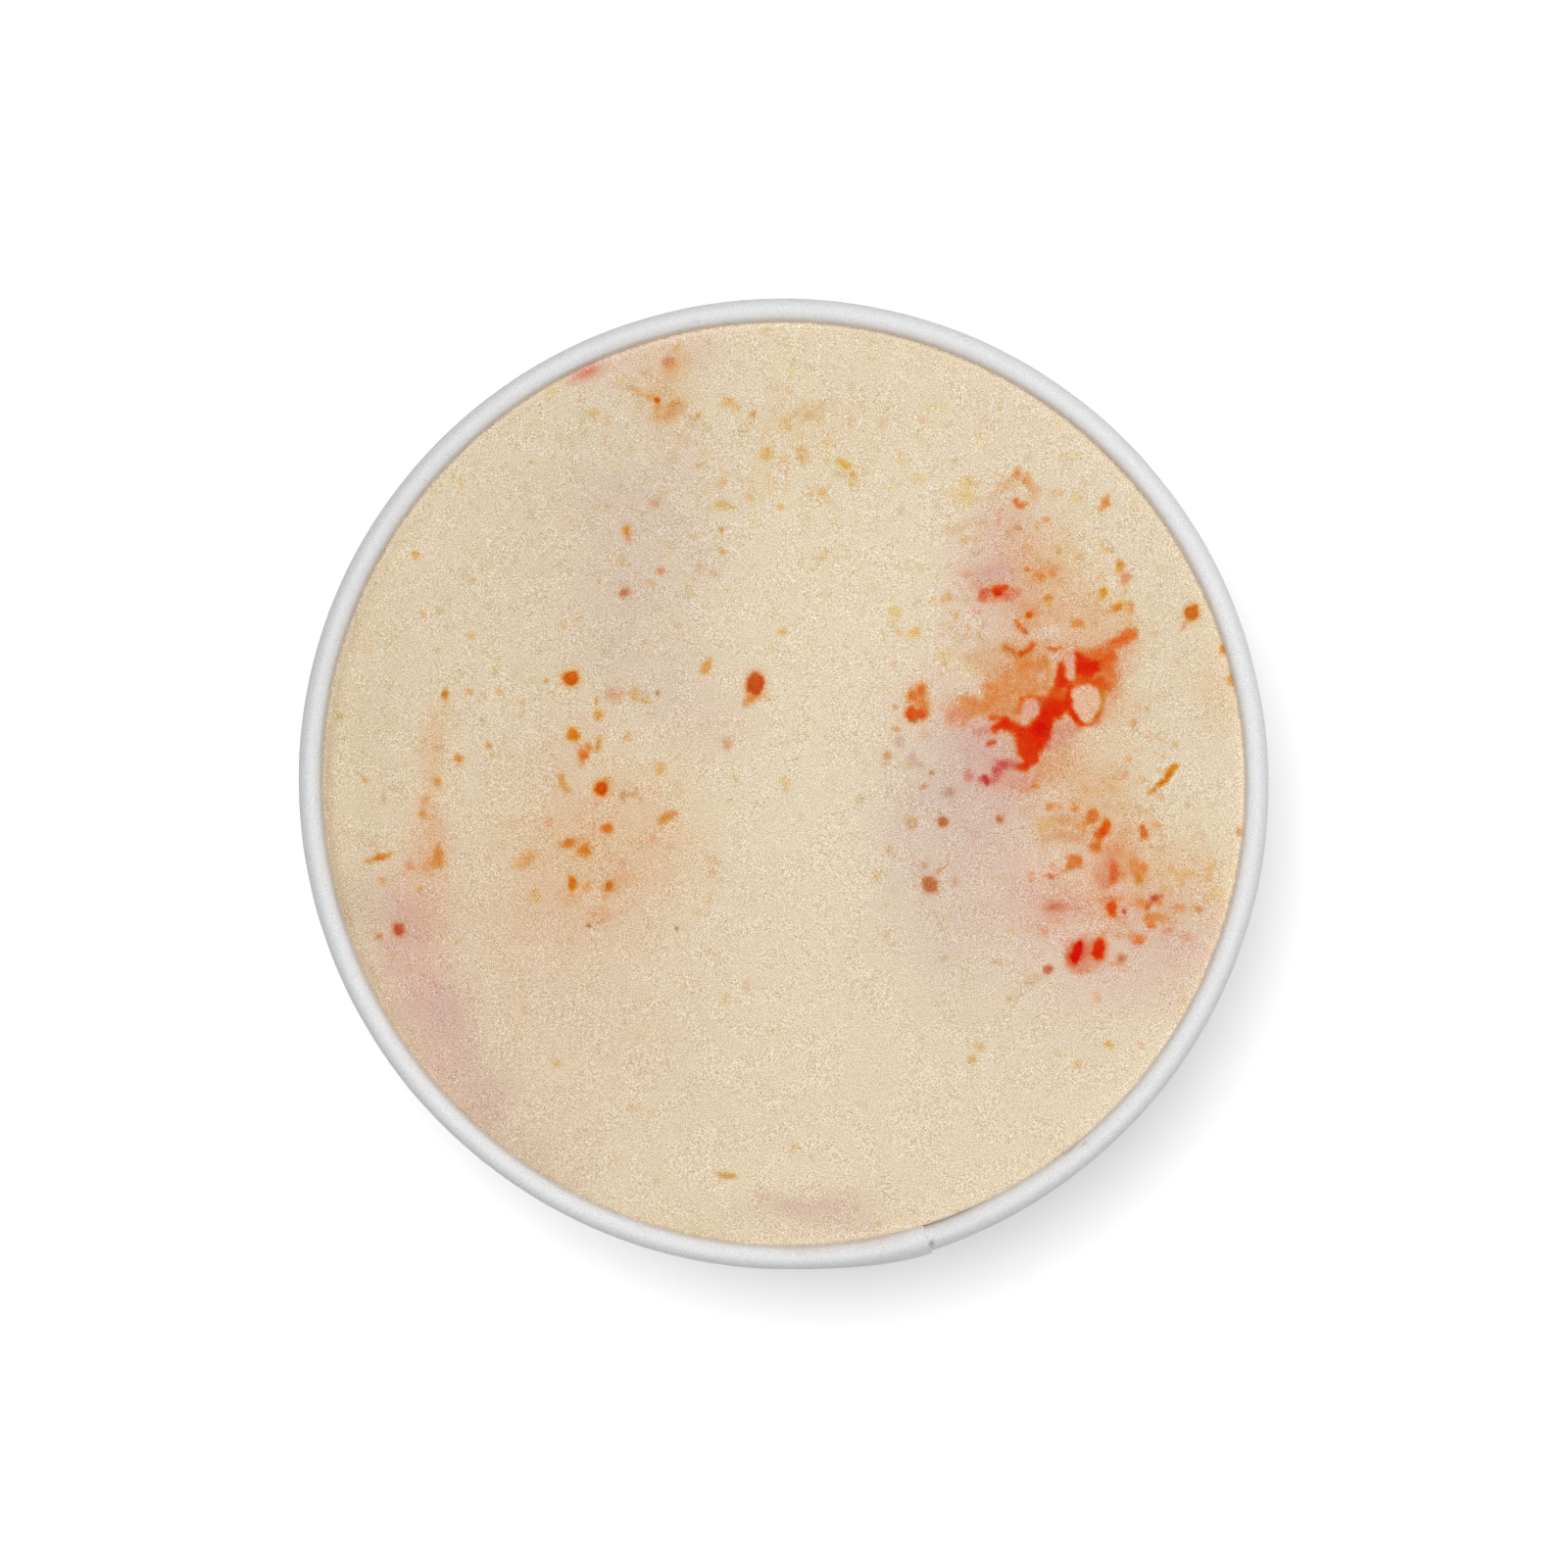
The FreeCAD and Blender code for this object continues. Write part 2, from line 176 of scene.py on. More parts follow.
# the ripple's layers, thin to thick: outline, softness of its edge, tint, strength
SHEETS = [
    ([(19.37, 10.6), (21.3, 12.35), (22.27, 13.9), (25.37, 14.28), (29.05, 14.09), (31.95, 14.67), (33.89, 15.44), (35.05, 14.28), (33.89, 10.6), (33.12, 8.47), (31.95, 6.54), (29.53, 4.79), (28.08, 3.44), (26.34, 0.92), (24.21, -0.05), (21.3, -0.63), (19.56, -0.44), (19.75, 1.31), (21.69, 2.66), (21.3, 4.21), (18.79, 5.37), (15.88, 5.57), (15.69, 7.7), (17.43, 9.05), (19.37, 9.25)], 0.97, "salmon", 0.3),
    ([(17.91, 12.73), (21.3, 13.9), (26.34, 13.9), (28.08, 12.93), (27.6, 9.63), (25.18, 6.25), (20.33, 6.54), (17.91, 6.73), (16.95, 8.18), (19.37, 8.76), (19.66, 10.22), (18.59, 11.18)], 0.58, "peach", 0.4),
    ([(19.85, 9.93), (21.11, 10.31), (21.88, 10.99), (22.85, 11.57), (23.82, 12.15), (24.98, 12.54), (26.14, 12.15), (26.53, 10.6), (26.14, 9.25), (25.37, 8.67), (23.72, 8.57), (23.24, 7.5), (23.24, 6.34), (21.88, 6.63), (20.33, 6.73), (19.37, 6.83), (18.2, 6.63), (17.43, 7.21), (17.24, 8.28), (18.01, 8.76), (18.98, 8.47), (19.75, 8.28)], 0.35, "orange", 0.36),
    ([(19.75, 9.73), (20.72, 9.93), (21.3, 9.05), (20.92, 7.5), (19.95, 6.92), (18.59, 7.02), (17.82, 7.5), (17.82, 8.28), (18.98, 8.18), (19.75, 8.47)], 0.39, "orange", 0.2),
    ([(15.69, 7.5), (16.95, 7.79), (17.91, 7.31), (18.59, 6.44), (17.82, 5.66), (16.46, 5.57)], 0.48, "coral", 0.42),
    ([(23.24, 12.83), (24.4, 12.54), (24.4, 11.57), (23.43, 11.38), (22.66, 12.15)], 0.44, "orange", 0.42),
    ([(25.37, 12.73), (26.14, 12.73), (26.34, 11.57), (25.37, 11.38)], 0.39, "orange_brown", 0.3),
    ([(28.76, 13.31), (29.82, 13.22), (30.99, 13.41), (31.95, 13.99), (32.92, 14.57), (33.89, 15.15), (34.67, 15.35), (34.76, 14.57), (33.89, 13.9), (33.02, 13.31), (32.73, 12.54), (32.63, 11.18), (33.02, 10.12), (32.53, 9.34), (31.76, 8.86), (30.79, 9.73), (29.82, 10.22), (28.86, 10.51)], 0.33, "orange_red", 0.5),
    ([(31.95, 12.73), (33.31, 12.35), (33.5, 10.22), (33.12, 8.47), (32.15, 8.09), (31.76, 10.6)], 0.58, "coral", 0.34),
    ([(30.79, 13.12), (32.34, 13.9), (32.73, 12.73), (32.34, 11.38), (31.37, 10.6), (30.6, 11.57)], 0.39, "orange_red", 0.28),
    ([(26.14, 6.34), (27.69, 6.92), (28.86, 5.76), (28.56, 4.41), (27.5, 3.63), (26.34, 3.63)], 0.63, "rose", 0.4),
    ([(25.56, 2.66), (27.69, 3.63), (28.47, 2.08), (27.69, 0.15), (25.37, -0.05), (24.4, 0.73)], 0.68, "peach", 0.4),
    ([(28.76, 13.12), (29.34, 12.73), (30.21, 12.35), (31.28, 11.96), (31.18, 11.18), (30.5, 10.6), (29.73, 10.41), (28.95, 10.8), (28.86, 11.96)], 0.25, "red", 0.8),
    ([(29.05, 11.96), (30.02, 12.06), (31.18, 11.86), (30.89, 11.18), (29.82, 10.89), (29.15, 11.18)], 0.23, "red", 1),
    ([(28.86, 10.6), (30.21, 10.6), (31.37, 10.6), (31.95, 9.63), (31.57, 9.05), (30.79, 9.83), (29.82, 10.12), (28.86, 9.93), (28.27, 9.44), (28.08, 10.02)], 0.25, "orange_red", 0.62),
    ([(27.11, 11.76), (27.6, 12.15), (27.89, 11.28), (27.79, 10.6), (28.27, 10.02), (28.08, 9.44), (27.11, 9.25), (26.63, 9.54), (27.02, 10.51)], 0.23, "red", 0.8),
    ([(26.53, 9.63), (28.08, 9.44), (28.47, 8.47), (28.08, 7.5), (27.11, 7.89), (25.95, 8.38)], 0.35, "orange_red", 0.8),
    ([(25.56, 8.38), (26.34, 8.57), (27.11, 8.38), (28.08, 8.09), (28.27, 7.5), (27.69, 7.02), (27.5, 6.63), (26.73, 6.44), (26.43, 5.76), (26.34, 4.79), (26.05, 4.02), (25.56, 3.34), (25.27, 2.76), (25.08, 2.18), (24.4, 1.69), (24.01, 1.21), (23.43, 1.4), (23.24, 1.79), (23.72, 2.28), (23.53, 2.66), (23.14, 2.95), (23.05, 3.63), (22.95, 4.31), (22.76, 4.89), (22.27, 5.18), (21.5, 5.37), (21.01, 5.08), (20.82, 5.57), (21.21, 6.05), (21.69, 6.54), (22.27, 6.34), (23.05, 5.76), (23.82, 5.66), (24.59, 6.15), (25.27, 6.92), (25.47, 7.7)], 0.31, "red", 0.76),
    ([(25.76, 7.5), (26.53, 7.99), (27.6, 7.5), (27.5, 6.73), (26.63, 6.54), (26.14, 5.37), (25.95, 4.21), (25.18, 4.02), (24.59, 4.6), (24.21, 5.18), (24.79, 5.76), (25.47, 6.73)], 0.33, "red", 0.9),
    ([(24.98, 5.96), (25.76, 6.05), (25.95, 5.28), (25.37, 4.79), (24.79, 5.18)], 0.29, "deep_red", 1),
]
# cream that shows through the ripple
ISLANDS = [
    ([(28.47, 8.67), (28.95, 9.34), (29.82, 9.73), (30.7, 9.34), (31.08, 8.47), (30.89, 7.31), (30.4, 6.54), (29.63, 6.34), (28.95, 6.92), (28.56, 7.79)], 0.31, "peach_cream", 0.94),
    ([(23.72, 8.09), (24.3, 8.38), (24.98, 8.18), (25.27, 7.7), (25.08, 6.92), (24.4, 6.34), (23.72, 6.15), (23.43, 6.92)], 0.29, "pale_salmon", 0.86),
    ([(27.79, 13.22), (28.66, 13.31), (28.76, 12.15), (28.66, 10.99), (28.47, 10.41), (27.98, 10.6), (27.89, 11.76)], 0.31, "pale_salmon", 0.8),
    ([(24.98, 10.8), (25.76, 11.18), (25.95, 10.41), (25.37, 9.83), (24.98, 10.12)], 0.29, "pale_rose", 0.7),
    ([(26.14, 12.83), (27.02, 13.02), (27.21, 12.35), (26.53, 11.96), (26.05, 12.25)], 0.29, "pale_rose", 0.7),
    ([(21.11, 4.21), (22.66, 4.79), (22.95, 3.44), (22.66, 2.47), (21.3, 2.28)], 0.48, "pale_rose", 0.4),
]
# threads of syrup: line, width, softness, tint, strength
THREADS = [
    ([(21.69, 13.41), (22.37, 13.22), (22.95, 12.93), (23.53, 12.73)], 0.35, 0.25, "orange_red", 0.46),
    ([(23.43, 12.73), (24.11, 13.12), (24.59, 13.8)], 0.48, 0.21, "orange_red", 0.72),
    ([(23.53, 12.73), (24.3, 13.31)], 0.35, 0.15, "rust_red", 0.8),
    ([(21.88, 13.51), (22.66, 12.93), (23.82, 12.44)], 0.87, 0.39, "orange_brown", 0.24),
    ([(26.24, 13.41), (26.82, 13.22), (27.5, 13.41)], 0.35, 0.19, "orange_red", 0.44),
    ([(28.47, 9.54), (29.24, 9.93), (30.21, 10.02), (30.99, 9.63)], 0.48, 0.21, "orange_red", 0.55),
    ([(28.27, 9.44), (28.08, 8.47), (28.27, 7.5), (28.66, 6.63), (29.24, 5.96)], 0.58, 0.21, "red", 0.66),
    ([(28.47, 7.12), (28.95, 6.34)], 0.58, 0.19, "red", 0.7),
    ([(29.05, 5.96), (29.82, 5.76), (30.6, 6.05), (31.08, 6.73)], 0.43, 0.19, "orange_red", 0.6),
    ([(30.99, 6.63), (31.47, 7.5), (31.57, 8.47), (31.28, 9.25)], 0.45, 0.19, "orange_brown", 0.62),
    ([(31.76, 7.12), (30.99, 5.96)], 0.48, 0.29, "coral", 0.4),
    ([(29.05, 5.76), (29.24, 5.18)], 0.39, 0.19, "coral", 0.5),
    ([(23.43, 8.38), (23.34, 7.7), (23.24, 7.02)], 0.39, 0.19, "orange_red", 0.5),
    ([(23.43, 8.47), (24.21, 8.67), (24.98, 8.47), (25.56, 8.28)], 0.39, 0.19, "orange_red", 0.55),
    ([(25.27, 8.28), (25.47, 7.5)], 0.39, 0.19, "coral_red", 0.5),
    ([(20.33, 6.54), (21.11, 6.44), (21.88, 6.34)], 0.48, 0.21, "orange_red", 0.55),
    ([(20.92, 5.37), (21.3, 5.76), (21.79, 6.15)], 0.77, 0.21, "red", 0.55),
    ([(22.95, 1.79), (22.08, 1.99), (21.21, 1.89), (20.92, 1.4)], 0.73, 0.33, "crimson", 0.28),
    ([(21.69, 1.79), (21.11, 1.02), (20.62, 0.34), (19.66, 0.34)], 0.77, 0.35, "crimson", 0.27),
    ([(19.85, 0.63), (20.04, 0.15)], 0.48, 0.17, "crimson", 0.62),
    ([(23.63, 1.69), (22.85, 1.69)], 0.48, 0.25, "coral_red", 0.5),
    ([(26.34, 5.28), (26.05, 4.02), (26.14, 3.44)], 0.39, 0.23, "crimson", 0.35),
    ([(18.98, 4.99), (19.75, 5.28), (20.43, 5.18)], 0.68, 0.31, "rose", 0.55),
    ([(20.14, 3.92), (20.72, 4.12)], 0.41, 0.17, "coral_red", 0.7),
    ([(22.85, 27.94), (23.24, 27.35), (23.82, 27.55)], 0.45, 0.17, "orange", 0.75),
    ([(20.53, 28.42), (21.5, 29.39), (22.46, 29.97), (23.05, 30.74)], 0.77, 0.39, "peach", 0.42),
    ([(23.43, 30.55), (24.21, 29.78), (24.69, 28.9), (24.89, 28.23)], 0.68, 0.35, "peach", 0.45),
    ([(15.69, 15.64), (16.46, 15.64), (17.04, 14.86), (17.14, 13.9)], 0.63, 0.35, "tan", 0.34),
    ([(17.82, 14.38), (18.59, 14.77), (19.37, 14.67), (19.75, 13.99)], 0.58, 0.33, "tan", 0.38),
    ([(23.05, 16.03), (23.43, 15.44), (23.82, 14.96)], 0.45, 0.23, "orange_red", 0.52),
    ([(23.53, 16.22), (24.21, 15.44)], 0.77, 0.39, "peach", 0.3),
    ([(31.18, -5.47), (30.7, -6.44)], 0.87, 0.33, "orange", 0.62),
    ([(28.27, -8.38), (27.5, -8.86), (26.34, -9.34)], 0.39, 0.23, "coral", 0.42),
    ([(32.53, -7.79), (32.63, -8.76), (32.44, -9.73)], 0.58, 0.29, "coral_red", 0.6),
    ([(37.38, -11.09), (36.6, -11.38), (35.83, -12.25)], 0.39, 0.21, "coral_red", 0.5),
    ([(38.64, 1.6), (38.05, 1.02), (37.67, 0.34), (37.18, -0.05)], 0.62, 0.17, "amber", 0.72),
    ([(37.28, 0.05), (36.6, -0.63), (36.12, -0.92)], 0.45, 0.21, "orange_brown", 0.5),
    ([(38.25, 1.02), (37.76, 0.24), (37.38, -0.05)], 0.29, 0.15, "rust", 0.5),
    ([(37.18, -6.63), (37.96, -6.05)], 0.29, 0.19, "tan", 0.35),
]
# fruit bits: middle x, y, length, width, turn in degrees, tint, strength, softness
BITS = [
    (1.16, 36.36, 2.13, 1.36, 0, "honey", 0.14, 0.48),
    (3.87, 37.33, 0.58, 0.97, -2, "honey", 0.16, 0.29),
    (3.29, 29.1, 1.55, 0.77, -2, "peach", 0.16, 0.39),
    (-0.97, 39.17, 1.55, 1.16, 0, "tan", 0.16, 0.45),
    (0.19, 31.23, 0.58, 0.68, 0, "coral", 0.18, 0.29),
    (16.46, 28.81, 1.36, 0.77, 0, "gold", 0.18, 0.39),
    (-10.55, 43.04, 0.87, 0.77, 0, "orange_brown", 0.2, 0.33),
    (-19.66, 36.55, 0.77, 1.36, 6, "olive", 0.2, 0.35),
    (3, 37.04, 1.16, 0.97, 0, "ochre", 0.2, 0.39),
    (11.62, 31.91, 0.77, 0.77, 0, "gold", 0.2, 0.29),
    (10.75, 15.83, 0.97, 0.68, 0, "gold", 0.2, 0.29),
    (23.72, -26.68, 0.58, 0.58, 0, "tan", 0.2, 0.25),
    (26.53, -13.6, 1.07, 0.68, 0, "coral", 0.2, 0.39),
    (27.5, -16.32, 0.87, 0.48, 0, "coral", 0.2, 0.29),
    (-11.23, 41.3, 1.36, 1.16, 1, "orange_brown", 0.22, 0.39),
    (-11.43, 36.36, 1.16, 0.77, 0, "orange_brown", 0.22, 0.33),
    (-15.3, 33.16, 1.16, 0.87, 3, "tan", 0.22, 0.39),
    (-10.36, 34.52, 0.58, 0.97, 3, "tan", 0.22, 0.29),
    (3.58, 36.36, 0.58, 1.74, -24, "ochre", 0.22, 0.31),
    (-1.45, 29.78, 0.77, 1.94, 5, "honey", 0.22, 0.33),
    (13.27, 30.16, 1.16, 0.97, 0, "gold", 0.22, 0.35),
    (14.81, 18.25, 0.77, 0.77, 0, "gold", 0.22, 0.29),
    (43.09, -12.15, 0.68, 0.68, 0, "peach", 0.22, 0.29),
    (23.24, 25.22, 0.39, 0.39, 0, "red_brown", 0.22, 0.19),
    (18.4, 12.35, 1.55, 0.97, 0, "tan", 0.22, 0.48),
    (-3.49, 35.59, 0.87, 0.58, 0, "tan", 0.24, 0.29),
    (-1.65, 34.42, 0.68, 0.58, 0, "tan", 0.24, 0.29),
    (-19.37, 40.72, 0.68, 0.48, 2, "coral_red", 0.24, 0.27),
    (32.92, -6.63, 1.74, 1.36, 0, "orange", 0.24, 0.48),
    (30.02, -16.9, 4.07, 3.29, 0, "rose", 0.24, 0.87),
    (24.01, -3.24, 0.77, 0.58, 0, "tan", 0.24, 0.29),
    (-23.24, 38.68, 0.77, 1.55, 6, "olive", 0.25, 0.39),
    (-21.01, 30.94, 0.77, 1.94, 6, "olive", 0.25, 0.39),
    (9.68, 35.78, 0.77, 0.97, 0, "tan", 0.25, 0.29),
    (-4.65, 41.39, 0.87, 0.77, 0, "tan", 0.25, 0.29),
    (0, 43.53, 0.97, 0.68, 0, "tan", 0.25, 0.29),
    (12.49, 14.38, 0.77, 0.77, 0, "gold", 0.25, 0.29),
    (35.83, 23.19, 0.68, 0.58, 0, "tan", 0.25, 0.25),
    (42.22, -1.99, 0.58, 0.68, 0, "olive", 0.25, 0.25),
    (21.21, 26.1, 0.29, 0.77, 1, "coral", 0.25, 0.21),
    (-10.26, 37.81, 0.97, 0.58, 3, "orange_brown", 0.26, 0.29),
    (-14.33, 38.68, 1.36, 0.44, -28, "orange_brown", 0.26, 0.27),
    (-6.2, 37.33, 0.87, 0.68, 0, "tan", 0.26, 0.29),
    (4.36, 33.75, 1.07, 1.26, -2, "honey", 0.26, 0.35),
    (-3.39, 28.23, 0.48, 0.77, 2, "orange_brown", 0.26, 0.25),
    (4.36, 22.9, 0.58, 0.58, 0, "tan", 0.26, 0.25),
    (-3.87, 34.81, 0.87, 0.68, 0, "tan", 0.26, 0.29),
    (26.82, -12.25, 2.13, 1.07, 6, "brick", 0.26, 0.39),
    (18.98, 28.23, 0.87, 0.58, 0, "ochre", 0.26, 0.29),
    (21.69, 21.45, 0.87, 0.58, 0, "rose", 0.26, 0.33),
    (20.92, 18.93, 3.29, 1.55, 6, "coral", 0.26, 0.58),
    (-17.48, 35.97, 0.87, 1.16, 2, "tan", 0.28, 0.35),
    (6.78, 29.87, 0.87, 0.87, 0, "gold", 0.28, 0.29),
    (-1.36, 30.36, 0.58, 0.77, 0, "honey", 0.28, 0.25),
    (-16.75, 8.76, 1.65, 1.36, 0, "clay", 0.28, 0.39),
    (-25.47, -7.5, 2.13, 1.26, 32, "orange_brown", 0.28, 0.44),
    (32.92, -0.63, 1.16, 0.97, 0, "honey", 0.28, 0.39),
    (38.73, -13.9, 1.36, 0.97, 0, "peach", 0.28, 0.39),
    (22.85, 29.29, 0.77, 0.58, 0, "peach", 0.28, 0.29),
    (24.21, 24.16, 0.87, 0.68, 0, "peach", 0.28, 0.29),
    (23.53, 17.77, 0.97, 0.77, 0, "coral", 0.28, 0.33),
    (16.07, 12.73, 1.55, 0.87, 0, "ochre", 0.28, 0.39),
    (-20.86, 4.89, 0.48, 0.58, 0, "rust", 0.3, 0.19),
    (-9.97, 41.98, 1.16, 1.36, 3, "peach", 0.3, 0.39),
    (-12.44, 37.04, 0.39, 1.36, -8, "orange_brown", 0.3, 0.23),
    (-16.27, 39.36, 0.97, 0.58, -1, "tan", 0.3, 0.29),
    (-5.42, 37.91, 0.48, 0.48, 0, "orange_brown", 0.3, 0.21),
    (-1.55, 32.49, 0.77, 0.77, 0, "ochre", 0.3, 0.23),
    (1.94, 32, 0.68, 0.58, 0, "ochre", 0.3, 0.23),
    (6.73, 30.55, 0.39, 0.33, 0, "orange_brown", 0.3, 0.19),
    (0.19, 29.68, 0.39, 1.16, 0, "tan", 0.3, 0.23),
    (3.87, 22.42, 0.77, 0.97, 0, "honey", 0.3, 0.29),
    (-10.65, 15.44, 0.58, 0.97, 7, "tan", 0.3, 0.29),
    (-18.4, 20.29, 0.58, 0.97, 7, "tan", 0.3, 0.29),
    (-20.43, -34.91, 0.58, 0.48, 0, "tan", 0.3, 0.29),
    (-36.8, 7.7, 0.48, 0.58, 0, "tan", 0.3, 0.23),
    (-31.95, -1.99, 0.58, 0.58, 0, "tan", 0.3, 0.23),
    (-39.22, 9.63, 0.48, 0.68, 0, "olive", 0.3, 0.23),
    (36.6, 14.96, 0.68, 0.68, 0, "tan", 0.3, 0.25),
    (36.21, -6.25, 0.58, 0.48, 0, "tan", 0.3, 0.23),
    (33.89, -4.89, 1.16, 1.74, 0, "peach", 0.3, 0.48),
    (41.25, -12.64, 0.77, 0.39, -3, "coral", 0.3, 0.23),
    (31.95, -14.67, 0.77, 0.58, 0, "coral", 0.3, 0.29),
    (35.83, -13.12, 0.68, 0.48, 0, "peach", 0.3, 0.29),
    (28.86, 28.03, 0.39, 0.39, 0, "ochre", 0.3, 0.19),
    (31.37, 26.39, 0.39, 0.39, 0, "ochre", 0.3, 0.19),
    (21.5, 26.97, 0.39, 0.39, 0, "coral", 0.3, 0.19),
    (24.4, 26.1, 0.48, 0.39, 0, "tan", 0.3, 0.23),
    (20.14, 20.96, 0.97, 0.58, 0, "rose", 0.3, 0.33),
    (17.43, 20.77, 0.39, 0.39, 0, "tan", 0.3, 0.19),
    (18.79, 17.19, 0.39, 0.39, 0, "coral", 0.3, 0.19),
    (26.73, 23.58, 0.48, 0.39, 0, "ochre", 0.3, 0.21),
    (27.98, 23.97, 0.39, 0.48, 0, "ochre", 0.3, 0.19),
    (27.31, 17.57, 0.58, 0.77, 0, "peach", 0.3, 0.29),
    (29.53, 15.54, 0.48, 0.48, 0, "orange_brown", 0.3, 0.21),
    (28.76, 15.73, 0.48, 0.48, 0, "orange_brown", 0.3, 0.21),
    (-9.63, 33.94, 0.58, 1.16, 3, "tan", 0.32, 0.29),
    (24.21, -0.63, 1.55, 0.87, 2, "coral", 0.32, 0.39),
    (30.99, -0.73, 1.36, 0.87, 0, "honey", 0.32, 0.39),
    (40.77, -12.25, 0.77, 0.77, 0, "orange_brown", 0.32, 0.23),
    (39.89, -15.25, 1.16, 0.87, 0, "coral", 0.32, 0.39),
    (33.02, -15.06, 0.97, 0.58, 0, "coral", 0.32, 0.29),
    (35.34, 12.73, 0.48, 0.58, 0, "peach", 0.32, 0.23),
    (28.66, -7.79, 0.97, 1.07, 4, "clay", 0.34, 0.23),
    (-13.27, 38.2, 0.68, 0.39, -2, "orange_brown", 0.34, 0.21),
    (0.39, 35.1, 0.48, 0.87, -1, "ochre", 0.34, 0.23),
    (-4.77, 27.26, 0.58, 0.48, 0, "honey", 0.34, 0.23),
    (29.05, -5.57, 1.36, 0.68, 0, "coral", 0.34, 0.33),
    (33.7, -8.38, 1.55, 2.13, 0, "ochre", 0.34, 0.48),
    (33.12, -11.47, 1.36, 0.58, -1, "orange", 0.34, 0.29),
    (34.67, -11.18, 1.16, 0.58, 0, "peach", 0.34, 0.29),
    (38.54, -8.86, 0.77, 0.68, 0, "honey", 0.34, 0.29),
    (33.5, -13.6, 0.58, 0.77, 0, "coral", 0.34, 0.27),
    (27.31, -11.96, 0.48, 0.48, 0, "coral_red", 0.34, 0.23),
    (23.72, -2.86, 0.87, 0.68, 0, "tan", 0.34, 0.29),
    (25.08, 20.87, 1.16, 0.77, 0, "orange", 0.34, 0.29),
    (25.56, 21.64, 1.55, 0.68, 0, "peach", 0.34, 0.35),
    (27.11, 19.9, 1.16, 0.97, 0, "peach", 0.34, 0.39),
    (23.14, 19.03, 0.77, 0.68, 0, "coral", 0.34, 0.29),
    (24.89, 16.99, 0.77, 0.87, 0, "coral", 0.34, 0.29),
    (33.89, 16.8, 0.87, 0.48, 0, "peach", 0.34, 0.29),
    (34.28, 13.12, 0.97, 0.68, 0, "peach", 0.34, 0.29),
    (-8.81, 35.78, 1.16, 0.87, 3, "tan", 0.35, 0.29),
    (-19.95, 34.81, 0.68, 1.16, 7, "olive", 0.35, 0.29),
    (-17.74, 0.05, 0.48, 0.77, -25, "rust_red", 0.35, 0.15),
    (-15.88, -9.63, 2.32, 1.36, 2, "peach", 0.35, 0.48),
    (-20.33, -3.34, 1.16, 0.97, 0, "peach", 0.35, 0.39),
    (-14.81, -31.91, 0.87, 0.77, 0, "tan", 0.35, 0.29),
    (-32.34, 1.89, 0.77, 0.58, 0, "tan", 0.35, 0.25),
    (-33.41, 15.44, 0.48, 0.58, 0, "tan", 0.35, 0.23),
    (-6.2, -35.78, 0.68, 0.58, 0, "tan", 0.35, 0.25),
    (0.97, -35.97, 0.77, 0.58, 0, "ochre", 0.35, 0.25),
    (0.1, -0.63, 0.58, 0.58, 0, "tan", 0.35, 0.23),
    (13.94, 4.79, 0.97, 0.97, 4, "peach", 0.35, 0.39),
    (13.94, -9.73, 0.58, 0.97, 0, "brown", 0.35, 0.19),
    (39.7, -21.45, 0.87, 0.68, 0, "tan", 0.35, 0.25),
    (27.31, -2.37, 0.48, 0.48, 0, "orange", 0.35, 0.21),
    (33.31, -2.66, 0.97, 0.77, 0, "tan", 0.35, 0.29),
    (30.21, -2.86, 0.58, 0.39, 3, "orange_red", 0.35, 0.19),
    (29.63, -4.7, 0.58, 0.58, 0, "orange", 0.35, 0.25),
    (37.38, -5.18, 0.77, 0.58, 0, "tan", 0.35, 0.25),
    (25.76, -9.05, 0.77, 0.48, 0, "coral", 0.35, 0.25),
    (31.18, -9.05, 1.36, 1.07, 0, "coral", 0.35, 0.39),
    (33.6, -9.05, 0.58, 0.77, 0, "orange", 0.35, 0.25),
    (37.18, -9.05, 0.97, 0.77, 0, "ochre", 0.35, 0.29),
    (37.47, -10.41, 0.77, 0.77, 0, "ochre", 0.35, 0.27),
    (34.86, -15.73, 0.77, 0.48, 0, "coral_red", 0.35, 0.21),
    (33.02, -17.87, 0.58, 0.48, 0, "coral", 0.35, 0.25),
    (24.21, -19.8, 0.87, 0.58, 0, "tan", 0.35, 0.29),
    (43.09, -0.44, 0.39, 0.39, 0, "olive", 0.35, 0.17),
    (-3.1, 36.5, 0.53, 0.58, -2, "orange_brown", 0.36, 0.19),
    (4.22, 27.97, 0.77, 0.58, -3, "honey", 0.36, 0.25),
    (-12.74, 27.66, 0.87, 0.77, 2, "clay", 0.36, 0.25),
    (-21.59, -0.44, 0.58, 1.07, 35, "orange_brown", 0.36, 0.23),
    (27.6, -3.63, 1.55, 0.68, 0, "orange", 0.36, 0.31),
    (27.11, -4.5, 4.26, 2.13, 0, "peach", 0.36, 0.58),
    (35.44, -9.73, 1.16, 0.77, 0, "ochre", 0.36, 0.29),
    (39.02, -12.25, 1.26, 0.68, 6, "orange", 0.36, 0.27),
    (26.63, -12.25, 0.58, 0.39, 0, "coral_red", 0.36, 0.23),
    (28.37, -12.25, 0.87, 0.58, 0, "coral", 0.36, 0.29),
    (25.76, -14.67, 0.87, 0.77, 0, "coral", 0.36, 0.27),
    (18.01, 28.42, 1.45, 1.16, 0, "gold", 0.36, 0.33),
    (23.92, 29.97, 0.87, 0.87, 0, "orange", 0.36, 0.29),
    (29.15, 28.32, 0.68, 0.97, 0, "gold", 0.36, 0.25),
    (31.32, 27.16, 0.58, 0.58, 0, "orange", 0.36, 0.21),
    (19.37, 20, 1.36, 0.77, 0, "mauve_pink", 0.36, 0.39),
    (24.21, 20.09, 0.87, 0.97, 0, "peach", 0.36, 0.31),
